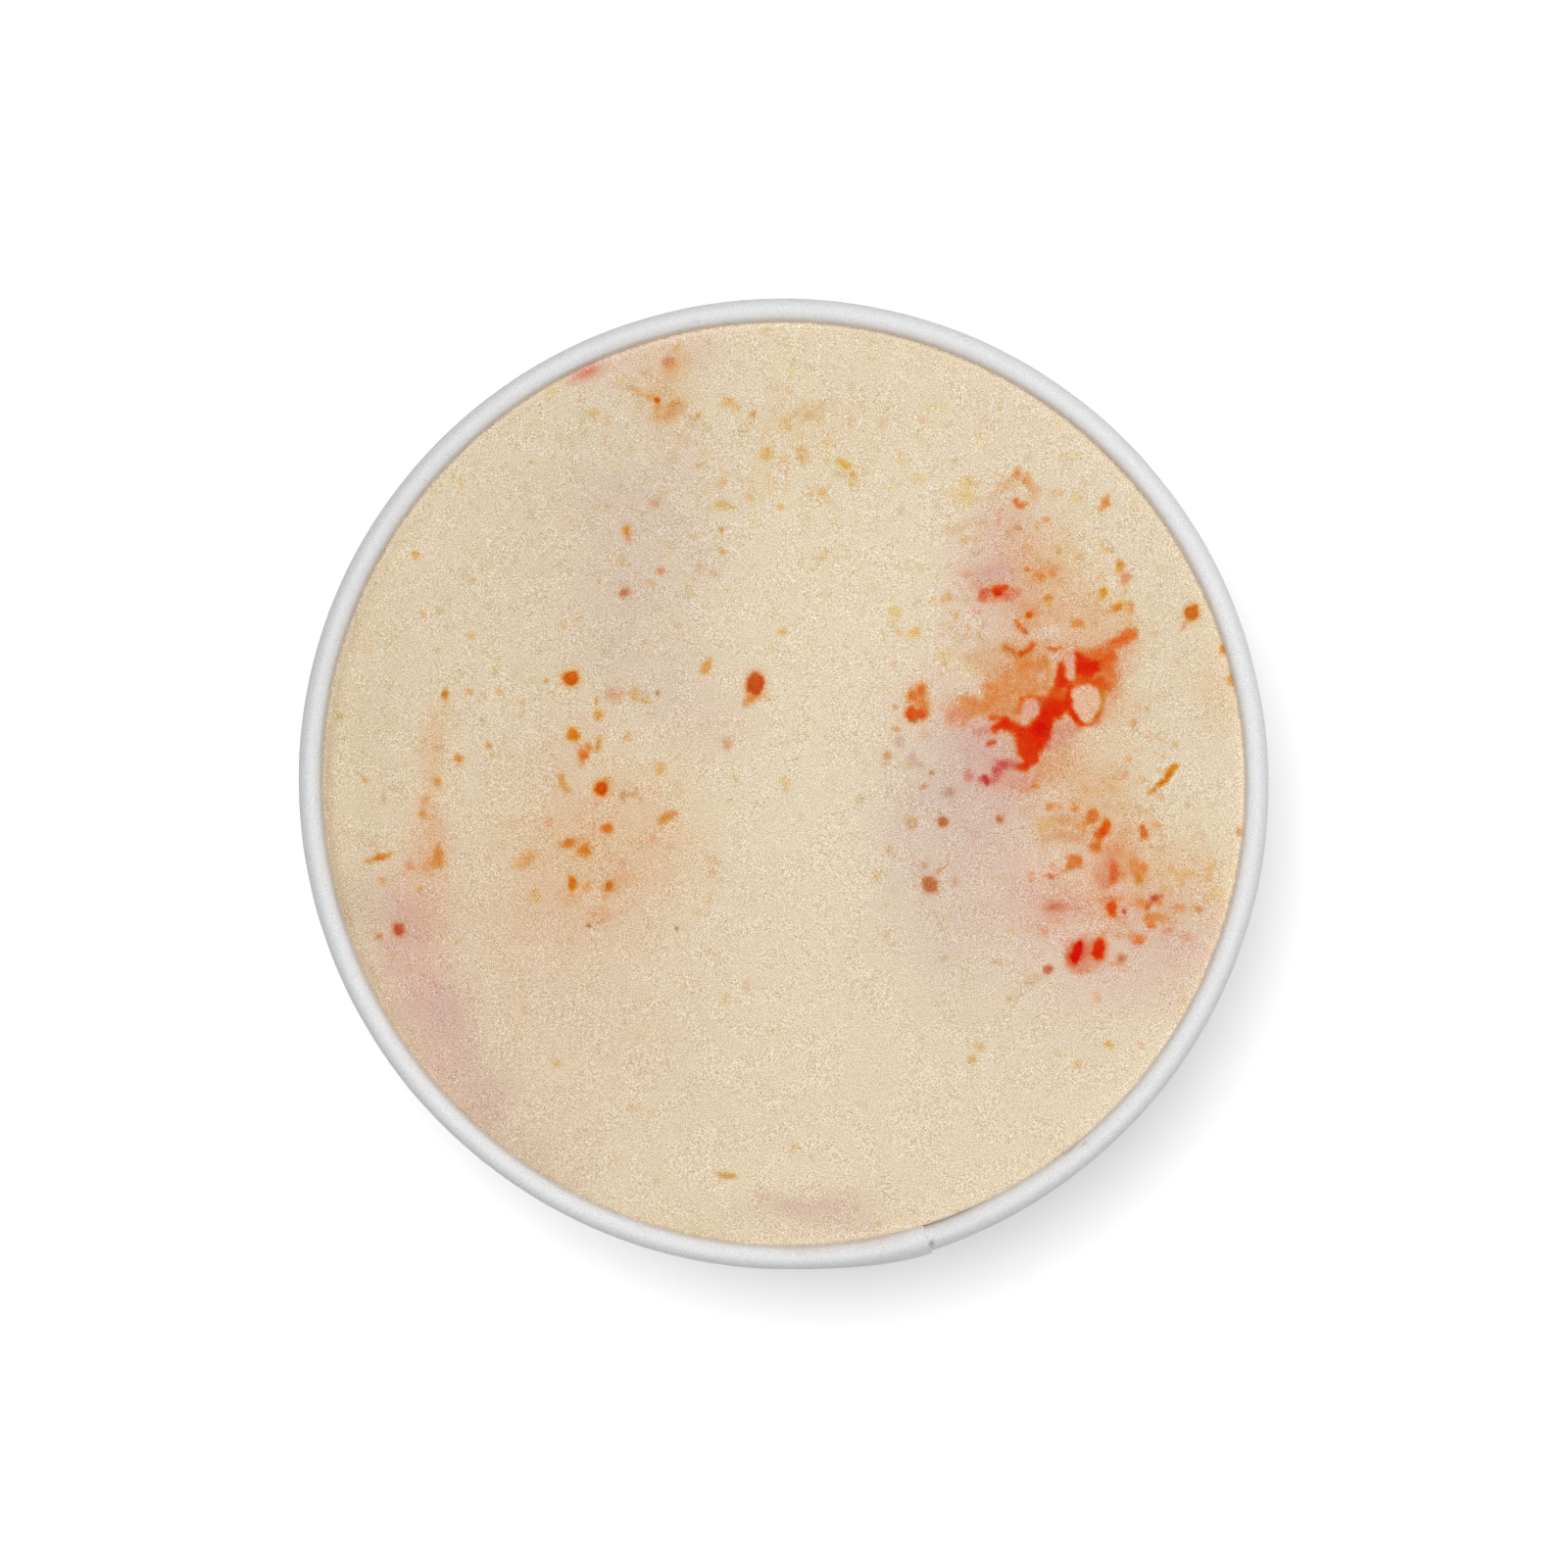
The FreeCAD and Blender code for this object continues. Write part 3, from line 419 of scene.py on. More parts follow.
    (31.57, 23.77, 0.58, 0.48, 0, "ochre", 0.36, 0.21),
    (30.7, 17.57, 0.58, 0.58, 0, "peach", 0.36, 0.23),
    (15.78, 12.06, 0.48, 0.48, 0, "ochre", 0.36, 0.23),
    (16.95, -9.63, 0.48, 0.58, 0, "clay", 0.38, 0.19),
    (35.05, -8.67, 1.65, 1.84, 0, "orange", 0.38, 0.35),
    (21.69, 18.25, 1.16, 0.48, 0, "coral", 0.38, 0.29),
    (26.14, 16.41, 0.68, 0.87, 0, "peach", 0.38, 0.29),
    (-24.59, -10.99, 0.68, 0.77, 0, "olive", 0.4, 0.25),
    (-11.23, 40.52, 1.07, 1.36, -1, "peach", 0.4, 0.39),
    (-5.58, 27.26, 0.58, 0.48, 0, "honey", 0.4, 0.23),
    (-19.95, 40.43, 1.65, 0.58, 22, "rose", 0.4, 0.35),
    (-8.36, 31.61, 0.87, 0.77, 0, "tan", 0.4, 0.29),
    (-1.65, 8.57, 1.16, 0.58, -3, "tan", 0.4, 0.29),
    (-20.33, -6.05, 2.52, 1.74, -4, "peach", 0.4, 0.48),
    (-26.73, -3.82, 0.87, 0.68, 0, "tan", 0.4, 0.29),
    (-19.46, -10.22, 0.77, 0.77, 0, "orange", 0.4, 0.29),
    (-12.68, -39.26, 0.68, 0.58, 0, "tan", 0.4, 0.25),
    (-23.24, -2.57, 1.36, 0.87, -6, "pale_rose", 0.4, 0.39),
    (-35.63, -1.99, 0.77, 0.97, 0, "peach", 0.4, 0.29),
    (-1.94, -40.91, 0.58, 0.39, 0, "tan", 0.4, 0.21),
    (7.46, -1.69, 0.77, 0.68, 0, "tan", 0.4, 0.25),
    (14.52, 1.13, 0.39, 0.39, 0, "brown", 0.4, 0.15),
    (13.75, -0.34, 0.39, 0.39, 0, "brown", 0.4, 0.15),
    (13.85, -7.99, 0.48, 0.48, 0, "clay", 0.4, 0.19),
    (44.25, 10.22, 0.68, 1.07, 8, "orange_brown", 0.4, 0.19),
    (19.37, -26, 0.97, 0.87, 0, "ochre", 0.4, 0.25),
    (29.05, -27.84, 0.87, 0.77, 0, "ochre", 0.4, 0.21),
    (28.47, -7.31, 0.77, 0.39, 0, "orange_red", 0.4, 0.19),
    (32.53, -9.44, 0.58, 0.68, 0, "orange_red", 0.4, 0.23),
    (31.57, -11.38, 0.97, 0.58, 0, "coral", 0.4, 0.27),
    (39.31, -9.63, 0.77, 0.58, 0, "honey", 0.4, 0.25),
    (41.73, -9.44, 0.68, 0.48, 0, "honey", 0.4, 0.23),
    (42.61, -10.8, 1.26, 0.87, -2, "honey", 0.4, 0.29),
    (32.34, -11.47, 0.68, 0.39, 0, "coral", 0.4, 0.23),
    (37.67, -13.41, 0.77, 0.87, 0, "orange", 0.4, 0.27),
    (30.21, -17.77, 0.97, 0.68, 0, "coral", 0.4, 0.29),
    (25.95, -18.83, 0.58, 0.29, 0, "coral", 0.4, 0.19),
    (24.69, -19.22, 1.36, 0.77, 1, "tan", 0.4, 0.33),
    (17.91, 29.78, 1.26, 1.07, 0, "gold", 0.4, 0.29),
    (24.5, 29.19, 0.58, 0.68, 0, "peach", 0.4, 0.29),
    (19.17, 22.9, 1.26, 0.87, -2, "mauve_pink", 0.4, 0.39),
    (17.91, 18.06, 0.87, 0.58, 0, "tan", 0.4, 0.27),
    (22.27, 18.74, 1.36, 0.87, 1, "coral_red", 0.4, 0.29),
    (25.95, 18.25, 0.39, 0.39, 0, "orange_brown", 0.4, 0.17),
    (26.34, 17.38, 0.58, 0.97, 0, "peach", 0.4, 0.29),
    (23.05, 15.83, 0.48, 0.48, 0, "orange", 0.4, 0.21),
    (33.7, 14.09, 0.58, 0.48, 0, "orange_red", 0.4, 0.21),
    (-13.65, 40.81, 0.77, 0.68, 0, "tan", 0.42, 0.29),
    (-12.1, 36.36, 2.13, 1.36, -3, "peach", 0.42, 0.48),
    (-18.34, 3.94, 0.58, 1.26, -8, "orange_brown", 0.42, 0.21),
    (-19.32, 3.49, 0.58, 0.87, -4, "orange", 0.42, 0.21),
    (-22.03, 0.39, 0.58, 0.87, 1, "orange_brown", 0.42, 0.23),
    (-34.33, 0.18, 0.77, 0.77, 0, "orange_brown", 0.42, 0.23),
    (-35.78, -3.03, 0.77, 0.68, 0, "orange_brown", 0.42, 0.23),
    (0.1, 0.15, 0.68, 0.77, 0, "ochre", 0.42, 0.23),
    (10.94, 16.95, 1.16, 1.07, 0, "gold", 0.42, 0.23),
    (28.76, -2.37, 0.77, 0.77, 0, "orange", 0.42, 0.25),
    (31.95, -2.18, 0.87, 0.77, 0, "tan", 0.42, 0.29),
    (39.89, -2.08, 0.58, 0.48, 0, "tan", 0.42, 0.21),
    (25.76, -5.37, 1.36, 0.87, 0, "peach", 0.42, 0.35),
    (37.09, -6.54, 0.87, 0.68, 0, "tan", 0.42, 0.25),
    (29.24, -7.79, 0.39, 0.87, 0, "orange_red", 0.42, 0.19),
    (32.34, -7.99, 2.52, 3.87, 0, "salmon", 0.42, 0.77),
    (34.57, -7.79, 0.87, 0.87, 0, "orange", 0.42, 0.29),
    (41.93, -11.38, 0.87, 0.68, 0, "peach", 0.42, 0.29),
    (37.09, -11.76, 0.77, 0.77, 0, "orange", 0.42, 0.25),
    (37.96, -14.57, 1.07, 0.77, 0, "coral", 0.42, 0.29),
    (34.47, -15.06, 0.87, 0.68, 0, "coral", 0.42, 0.27),
    (33.36, -17.24, 0.87, 0.82, 1, "brick", 0.42, 0.25),
    (23.05, 30.65, 0.63, 0.77, 0, "orange", 0.42, 0.25),
    (21.69, 29.19, 0.97, 0.77, 2, "peach", 0.42, 0.33),
    (23.34, 27.4, 0.58, 0.39, 2, "orange", 0.42, 0.17),
    (25.9, 26.05, 0.58, 0.48, 0, "orange", 0.42, 0.21),
    (22.27, 24.74, 0.39, 0.58, -2, "coral", 0.42, 0.19),
    (25.37, 20.29, 0.97, 0.87, 0, "orange", 0.42, 0.27),
    (27.31, 23.09, 0.58, 0.77, 0, "ochre", 0.42, 0.23),
    (20.24, 19.08, 0.77, 0.39, 2, "coral_red", 0.42, 0.23),
    (19.95, 18.06, 0.87, 0.39, -1, "coral", 0.42, 0.23),
    (33.55, 19.9, 0.58, 0.48, 0, "orange", 0.42, 0.21),
    (34.28, 17.53, 0.68, 0.82, 0, "orange", 0.42, 0.23),
    (31.76, 16.99, 1.36, 0.58, -6, "peach", 0.42, 0.29),
    (-18.75, 36.59, 0.87, 0.97, 0, "ochre", 0.44, 0.25),
    (35.54, -11.86, 1.36, 0.97, -1, "orange", 0.44, 0.29),
    (-19.85, 2.8, 0.48, 0.48, 0, "rust", 0.45, 0.19),
    (-17.49, -4.46, 0.52, 0.58, 0, "rust", 0.45, 0.21),
    (-6.13, 29.78, 0.68, 0.87, 0, "ochre", 0.45, 0.29),
    (-18.4, 6.77, 0.68, 0.97, 5, "orange_brown", 0.45, 0.23),
    (-36.99, -8.14, 0.77, 0.97, 0, "coral", 0.45, 0.33),
    (13.17, 8.38, 0.97, 0.97, 0, "orange", 0.45, 0.29),
    (14.87, -10.35, 0.58, 0.77, 0, "pale_rose", 0.45, 0.25),
    (18.59, -27.26, 0.87, 0.77, 0, "ochre", 0.45, 0.25),
    (31.66, -10.02, 1.07, 0.87, 0, "coral", 0.45, 0.33),
    (31.76, 13.6, 0.68, 0.58, 0, "pale_rose", 0.45, 0.23),
    (-11.04, 37.28, 0.87, 0.63, 12, "orange_brown", 0.46, 0.23),
    (0.1, 35.68, 1.07, 0.87, 1, "honey", 0.46, 0.29),
    (-19.68, -6.63, 1.16, 1.26, 0, "rust", 0.46, 0.29),
    (-11.72, -3.4, 1.65, 0.77, 26, "orange_brown", 0.46, 0.23),
    (27.69, -5.18, 1.74, 1.07, 1, "peach", 0.46, 0.39),
    (32.63, -8.67, 0.77, 1.65, 0, "orange_red", 0.46, 0.29),
    (31.95, 28.23, 0.39, 0.68, -24, "orange", 0.46, 0.19),
    (18.11, 20.62, 0.73, 0.58, 0, "coral", 0.46, 0.21),
    (26.43, 20.87, 0.82, 0.77, 0, "orange", 0.46, 0.23),
    (29.15, 22.42, 0.68, 0.48, 0, "peach", 0.46, 0.21),
    (30.99, 18.16, 0.58, 0.48, 0, "peach", 0.46, 0.23),
    (29.05, 15.88, 1.07, 0.68, -14, "orange", 0.48, 0.21),
    (-11.45, 41.83, 0.87, 0.77, 2, "clay", 0.5, 0.27),
    (6, 31.07, 0.58, 0.48, 0, "gold", 0.5, 0.19),
    (-26.73, 22.13, 0.58, 0.58, 0, "tan", 0.5, 0.23),
    (-30.99, 20.09, 0.48, 0.77, 6, "tan", 0.5, 0.23),
    (-20.33, 16.32, 0.48, 0.58, 0, "tan", 0.5, 0.23),
    (-6.97, 20.77, 0.77, 0.68, 0, "tan", 0.5, 0.25),
    (-15.59, 25.03, 0.77, 0.97, 9, "orange_brown", 0.5, 0.23),
    (-15.4, 24.26, 0.48, 0.77, 8, "coral", 0.5, 0.23),
    (-7.75, 11.57, 0.68, 1.26, -18, "orange_brown", 0.5, 0.27),
    (-3.39, 8.28, 0.87, 0.87, 0, "orange", 0.5, 0.27),
    (-13.6, 8.22, 0.77, 0.58, -2, "ochre", 0.5, 0.21),
    (-15.44, 4.5, 0.58, 0.77, 2, "ochre", 0.5, 0.21),
    (-14.62, -0.63, 0.58, 0.58, 0, "tan", 0.5, 0.23),
    (-15.88, -1.89, 0.58, 0.58, 0, "tan", 0.5, 0.23),
    (-11.04, -3.05, 0.68, 0.48, 2, "coral", 0.5, 0.21),
    (-18.2, -13.02, 1.94, 1.36, 0, "peach", 0.5, 0.48),
    (-21.01, -11.47, 1.55, 1.16, 0, "peach", 0.5, 0.48),
    (-22.37, -13.12, 2.13, 1.36, 3, "pale_rose", 0.5, 0.48),
    (-22.46, -27.64, 0.77, 0.68, 0, "ochre", 0.5, 0.25),
    (-33.41, 8.09, 0.39, 0.58, 0, "peach", 0.5, 0.19),
    (-29.82, 6.15, 0.48, 0.58, 0, "tan", 0.5, 0.21),
    (-34.47, -7.79, 1.55, 1.16, 2, "orange_brown", 0.5, 0.31),
    (-38.54, -13.99, 0.58, 0.48, 0, "coral", 0.5, 0.23),
    (-40.11, -15.15, 0.77, 0.68, 0, "clay", 0.5, 0.23),
    (-38.73, -17.09, 0.68, 0.58, 0, "tan", 0.5, 0.23),
    (-34.57, -19.8, 0.68, 0.58, 0, "tan", 0.5, 0.23),
    (-34.28, 13.12, 0.48, 0.58, 0, "olive", 0.5, 0.23),
    (-5.04, -38.97, 0.58, 0.39, -1, "ochre", 0.5, 0.19),
    (13.17, 7.89, 2.52, 3.49, 0, "peach", 0.5, 0.48),
    (9.97, 1.99, 0.68, 0.77, 0, "tan", 0.5, 0.29),
    (12.39, 1.89, 0.58, 0.77, 0, "tan", 0.5, 0.25),
    (15.49, -3.5, 0.48, 0.39, 0, "brown", 0.5, 0.17),
    (22.27, -21.35, 0.58, 0.58, 0, "tan", 0.5, 0.21),
    (13.03, 14.96, 0.97, 0.97, 0, "gold", 0.5, 0.23),
    (35.92, 7.5, 0.58, 0.68, 0, "tan", 0.5, 0.23),
    (24.79, -0.24, 0.77, 0.77, 0, "orange", 0.5, 0.21),
    (26.43, -2.28, 0.97, 0.68, 2, "orange", 0.5, 0.25),
    (35.05, -2.57, 0.68, 0.68, 0, "tan", 0.5, 0.23),
    (30.11, -3.63, 0.48, 0.87, 0, "orange_brown", 0.5, 0.21),
    (30.89, -6.34, 1.16, 0.87, 2, "orange", 0.5, 0.29),
    (30.99, -6.25, 0.33, 0.33, 0, "red_brown", 0.5, 0.15),
    (25.76, -3.92, 1.36, 0.97, 0, "honey", 0.5, 0.35),
    (28.66, -7.7, 1.21, 1.21, 4, "orange", 0.5, 0.19),
    (28.27, -8.18, 0.68, 0.58, 0, "orange_brown", 0.5, 0.21),
    (31.95, -8.28, 0.77, 0.68, 0, "coral", 0.5, 0.29),
    (36.02, -13.41, 0.68, 0.87, 0, "orange", 0.5, 0.25),
    (28.37, -16.9, 0.77, 1.65, -14, "coral_red", 0.5, 0.25),
    (29.63, -16.9, 0.87, 1.36, 0, "coral_red", 0.5, 0.31),
    (31.47, -16.32, 0.39, 1.36, 0, "red", 0.5, 0.19),
    (30.21, -16.32, 1.26, 1.36, 0, "coral", 0.5, 0.33),
    (31.76, 27.64, 0.77, 0.68, 0, "orange", 0.5, 0.19),
    (19.8, 15.83, 0.58, 0.58, 0, "tan", 0.5, 0.23),
    (32.24, 22.95, 0.63, 0.58, 0, "ochre", 0.5, 0.19),
    (26.05, 18.3, 0.77, 0.77, 0, "orange_brown", 0.5, 0.21),
    (33.02, 20.96, 0.48, 0.39, 0, "orange", 0.5, 0.19),
    (-10.84, 37.13, 1.94, 1.36, 0, "peach", 0.52, 0.39),
    (-6.14, 27.55, 1.26, 0.87, 0, "ochre", 0.52, 0.25),
    (-21.37, -5.92, 1.31, 0.77, 24, "rust", 0.52, 0.19),
    (-32.19, 2.51, 0.97, 0.68, -12, "orange_brown", 0.52, 0.21),
    (-34.13, -6.92, 0.77, 1.16, 0, "orange_brown", 0.52, 0.21),
    (45.07, -4.79, 0.58, 0.87, 0, "clay", 0.52, 0.17),
    (29.44, -4.12, 0.87, 0.58, 2, "orange", 0.52, 0.25),
    (29.34, -18.35, 1.84, 0.87, 0, "coral", 0.52, 0.35),
    (20.82, 20.87, 3.87, 1.45, -4, "mauve_pink", 0.52, 0.58),
    (-15.4, 39.07, 0.68, 0.58, 0, "tan", 0.55, 0.25),
    (-4.69, 37.14, 0.87, 0.68, -2, "honey", 0.55, 0.25),
    (-12.2, 20.96, 0.68, 0.68, 0, "coral", 0.55, 0.23),
    (-13.27, 19.8, 0.68, 0.58, 0, "tan", 0.55, 0.23),
    (-3, 9.15, 0.97, 0.87, 0, "rust_red", 0.55, 0.29),
    (15.78, -17.28, 0.48, 0.58, 0, "tan", 0.55, 0.19),
    (35.63, -8.28, 0.87, 0.77, 0, "orange", 0.55, 0.23),
    (30.89, -15.73, 0.77, 0.48, -2, "coral_red", 0.55, 0.23),
    (25.08, 25.42, 0.44, 0.63, 0, "ochre", 0.55, 0.19),
    (32.83, 17.28, 0.68, 0.48, 0, "orange", 0.55, 0.21),
    (34.37, 14.86, 0.68, 0.87, 0, "orange", 0.55, 0.21),
    (1.7, 32.58, 1.16, 1.36, 2, "honey", 0.56, 0.27),
    (19.75, 18.64, 0.87, 1.07, -24, "coral_red", 0.56, 0.25),
    (31.57, 18.88, 0.73, 0.87, -28, "amber", 0.56, 0.19),
    (33.26, 21.54, 0.73, 0.92, -2, "orange_brown", 0.56, 0.18),
    (33.84, 20.38, 1.07, 0.97, -2, "coral", 0.56, 0.21),
    (34.08, 14.48, 1.16, 1.07, 2, "orange", 0.56, 0.27),
    (19.32, 16.95, 0.44, 0.44, 0, "coral", 0.58, 0.17),
    (5.58, 31.91, 0.48, 0.48, 0, "gold", 0.6, 0.17),
    (3.76, 28.56, 0.48, 1.16, -34, "honey", 0.6, 0.21),
    (-0.29, 27.35, 0.33, 0.39, 0, "olive", 0.6, 0.15),
    (-12.49, 9, 0.25, 0.29, 0, "brown", 0.6, 0.14),
    (-20.77, 4.79, 0.48, 0.58, 0, "amber", 0.6, 0.17),
    (-17.82, -11.18, 0.48, 0.77, 0, "peach", 0.6, 0.25),
    (-10.57, -14.38, 0.25, 0.29, -4, "brown", 0.6, 0.13),
    (-28.56, 11.09, 0.58, 0.48, 0, "ochre", 0.6, 0.19),
    (-39.55, -1.56, 0.48, 0.68, 0, "tan", 0.6, 0.19),
    (-40.96, -7.79, 0.77, 0.48, 3, "tan", 0.6, 0.23),
    (-35.44, -8.38, 1.74, 1.16, 0, "peach", 0.6, 0.48),
    (-33.99, 16.99, 0.58, 0.58, 0, "olive", 0.6, 0.23),
    (9.3, -43.53, 0.68, 0.48, 0, "tan", 0.6, 0.21),
    (12.72, 6.4, 0.68, 0.58, 0, "brown", 0.6, 0.19),
    (21.11, -17.67, 0.77, 0.58, 3, "tan", 0.6, 0.21),
    (35.44, -5.47, 0.48, 0.39, 0, "orange", 0.6, 0.19),
    (39.89, -8.96, 1.74, 0.77, 4, "honey", 0.6, 0.25),
    (42.12, -8.57, 0.63, 1.65, -12, "honey", 0.6, 0.23),
    (32.53, -13.02, 0.68, 0.39, 0, "orange_red", 0.6, 0.19),
    (35.92, -12.2, 0.39, 0.48, 0, "orange_brown", 0.6, 0.16),
    (26.14, -18.35, 0.82, 0.77, 0, "brick", 0.6, 0.19),
    (23.95, 14.91, 0.29, 0.29, 0, "red_brown", 0.6, 0.14),
    (-5.49, 37.75, 1.07, 0.87, 2, "honey", 0.62, 0.27),
    (-0.29, 27.26, 0.62, 0.58, 2, "gold", 0.62, 0.18),
    (-0.1, 14.96, 0.77, 0.68, 0, "ochre", 0.62, 0.21),
    (-14.79, 8.86, 0.77, 1.36, -1, "ochre", 0.62, 0.21),
    (-19.25, -13.99, 0.23, 0.27, 0, "brown", 0.62, 0.13),
    (13.78, 7.93, 0.97, 1.36, 0, "orange", 0.62, 0.23),
    (10.42, -6.5, 0.68, 0.77, 0, "tan", 0.62, 0.21),
    (32.05, -25.81, 0.87, 0.77, 0, "ochre", 0.62, 0.21),
    (26.34, -9.25, 0.58, 0.48, 0, "coral_red", 0.62, 0.19),
    (35, -9.34, 0.53, 0.97, 0, "orange_brown", 0.62, 0.19),
    (36.7, -13.22, 1.26, 0.77, 0, "orange", 0.62, 0.25),
    (23.05, 27.84, 0.44, 0.58, 0, "orange", 0.62, 0.16),
    (33.02, 17.53, 1.07, 0.53, 32, "amber", 0.62, 0.18),
    (15.64, 14.81, 0.39, 0.39, 0, "tan", 0.62, 0.16),
    (35.15, -15.4, 1.16, 0.82, 6, "orange", 0.64, 0.23),
    (-24.63, -11.09, 1.31, 1.31, 0, "honey", 0.66, 0.19),
    (-15.78, 18.88, 0.97, 0.77, 2, "clay", 0.68, 0.25),
    (43.48, 13.31, 0.63, 0.87, 2, "orange_brown", 0.68, 0.17),
    (6.71, 29.5, 0.39, 0.35, 0, "olive", 0.7, 0.15),
    (2.58, 28.71, 0.52, 0.39, 0, "honey", 0.7, 0.19),
    (-6.1, 22.9, 0.58, 0.58, 0, "ochre", 0.7, 0.19),
    (-25.08, 31.81, 0.39, 0.39, 0, "olive", 0.7, 0.15),
    (-20.84, 4.84, 1.07, 1.26, 0, "amber", 0.7, 0.21),
    (-15.3, -1.11, 1.26, 0.48, 12, "tan", 0.7, 0.23),
    (-17.33, -10.31, 1.45, 1.45, 0, "peach", 0.7, 0.39),
    (-29.15, 3.75, 0.58, 0.68, 0, "ochre", 0.7, 0.19),
    (-34.03, 3.57, 0.77, 0.58, 0, "tan", 0.7, 0.23),
    (40.71, 17.5, 0.58, 0.58, 0, "orange_brown", 0.7, 0.15),
    (33.65, -12.68, 0.39, 0.44, 0, "coral_red", 0.7, 0.15),
    (-1.65, 32.62, 1.36, 1.16, 0, "honey", 0.72, 0.25),
    (-33.5, 8.86, 0.58, 0.97, -15, "orange_brown", 0.72, 0.19),
    (12.64, -3.88, 1.26, 1.21, 0, "tan", 0.72, 0.19),
    (24.06, 21.16, 0.58, 0.53, 0, "orange", 0.72, 0.19),
    (12.77, 8.71, 0.97, 1.07, 0, "orange", 0.74, 0.21),
    (-5.62, 4.02, 0.97, 1.16, 6, "tan", 0.75, 0.25),
    (-3.78, 7.89, 0.77, 0.58, 3, "peach", 0.75, 0.23),
    (-12.17, 1.44, 1.16, 1.16, 0, "honey", 0.75, 0.33),
    (11.16, 5.35, 0.87, 0.58, -1, "tan", 0.75, 0.21),
    (15.59, -8.43, 2.03, 0.35, 38, "tan", 0.75, 0.15),
    (21.3, -3.5, 0.63, 0.73, -3, "clay", 0.75, 0.17),
    (30.65, -16.85, 0.53, 0.53, 0, "red", 0.75, 0.17),
    (20.72, 19.03, 0.48, 0.77, 0, "orange_red", 0.75, 0.18),
    (-19.85, 2.82, 0.97, 0.97, 0, "orange", 0.76, 0.23),
    (5.87, 31.69, 0.87, 0.68, 0, "gold", 0.8, 0.17),
    (-23.47, 10.16, 0.44, 0.48, 0, "ochre", 0.8, 0.15),
    (-17.51, -4.43, 0.97, 0.97, 0, "orange", 0.8, 0.19),
    (-39.99, -7.27, 1.74, 0.58, 16, "orange_brown", 0.8, 0.17),
    (12.59, 6.88, 0.97, 1.26, 0, "orange_red", 0.8, 0.19),
    (13.5, 6.87, 1.26, 0.87, 1, "orange_red", 0.8, 0.21),
    (13.22, 1.99, 1.26, 0.58, -35, "rose_grey", 0.8, 0.23),
    (16.27, -0.82, 1.16, 0.77, 2, "rose_brown", 0.8, 0.29),
    (18.2, 0.82, 0.87, 1.07, -3, "rose", 0.8, 0.25),
    (34.57, 5.86, 0.68, 0.68, 0, "peach", 0.8, 0.23),
    (30.5, -3.24, 1.16, 1.26, 8, "orange", 0.8, 0.18),
    (31.18, -5.18, 0.77, 0.68, 0, "orange", 0.8, 0.23),
    (36.65, -11.33, 0.63, 0.53, 0, "brick", 0.8, 0.16),
    (36.31, -13.99, 0.82, 0.68, 0, "orange", 0.8, 0.21),
    (35.44, -4.31, 0.53, 0.58, 0, "orange", 0.82, 0.17),
    (-12.6, 38.01, 0.35, 0.43, 2, "rust_red", 0.85, 0.13),
    (6.27, 31.46, 0.87, 0.77, 2, "gold", 0.85, 0.18),
    (6.81, 30.63, 0.62, 0.48, -1, "honey", 0.85, 0.19),
    (-8.48, 36.4, 0.44, 0.48, 0, "ochre", 0.85, 0.15),
    (-18.56, 8.13, 0.35, 0.68, 0, "ochre", 0.85, 0.15),
    (10.97, 7.57, 0.44, 0.48, 0, "tan", 0.85, 0.15),
    (39.51, 15.54, 0.53, 1.07, -32, "peach", 0.85, 0.21),
    (35.63, -4.99, 0.82, 0.97, 0, "orange", 0.85, 0.18),
    (31.18, -16.17, 1.11, 1.55, -6, "red", 0.85, 0.19),
    (31.08, -16.9, 0.97, 0.97, 0, "red", 0.85, 0.21),
    (14.52, -10.02, 1.45, 1.55, 0, "clay", 0.88, 0.17),
    (11.45, 4.17, 0.97, 1.07, 0, "rose_grey", 0.9, 0.25),
    (12.59, 2.66, 0.87, 0.68, 6, "rose_grey", 0.9, 0.21),
    (15.69, -3.77, 0.92, 0.92, -2, "clay", 0.9, 0.17),
    (21.79, 19.32, 0.68, 0.39, 24, "orange_red", 0.9, 0.15),
    (-2.81, 9.83, 1.65, 2.13, 1, "rust_brown", 0.92, 0.21),
    (32.39, -12.25, 1.02, 1.26, 0, "orange_red", 0.92, 0.17),
    (24.26, 16.7, 0.68, 0.68, 0, "orange_deep", 0.92, 0.18),
    (-6.2, 25.13, 0.48, 0.58, 0, "ochre", 0.95, 0.17),
    (-21.11, 10.38, 1.5, 1.45, 0, "rust", 0.95, 0.15),
    (-15.95, -1.24, 0.68, 0.97, 1, "tan", 0.95, 0.21),
    (-38.09, -14.46, 1.11, 1.21, 0, "brick", 0.95, 0.21),
    (13.61, 9.23, 0.87, 1.16, 0, "orange", 0.95, 0.21),
    (31.57, -4.7, 0.97, 0.87, 1, "orange_red", 0.95, 0.18),
    (21.16, 18.88, 0.77, 0.68, -2, "red", 0.95, 0.16),
    (-18.07, -0.53, 1.21, 1.31, 0, "rust_red", 1, 0.17),
    (-20.9, -9.88, 0.77, 1.26, 0, "amber", 1, 0.19),
    (-17.33, -10.14, 0.77, 0.87, 0, "orange_brown", 1, 0.17),
    (-43.96, 6.63, 0.77, 0.58, 0, "olive", 1, 0.23),
    (-5.71, -38.78, 1.36, 0.58, -8, "ochre", 1, 0.19),
    (10.23, 2.82, 0.82, 0.87, 0, "tan", 1, 0.19),
    (40.28, 16.84, 1.36, 1.4, 0, "orange_brown", 1, 0.17),
    (31.86, -4.02, 0.77, 1.07, -3, "orange_deep", 1, 0.17),
    (29, -16.51, 0.73, 1.84, -24, "deep_red", 1, 0.15),
    (28.81, -17.19, 0.77, 1.16, -16, "deep_red", 1, 0.16),
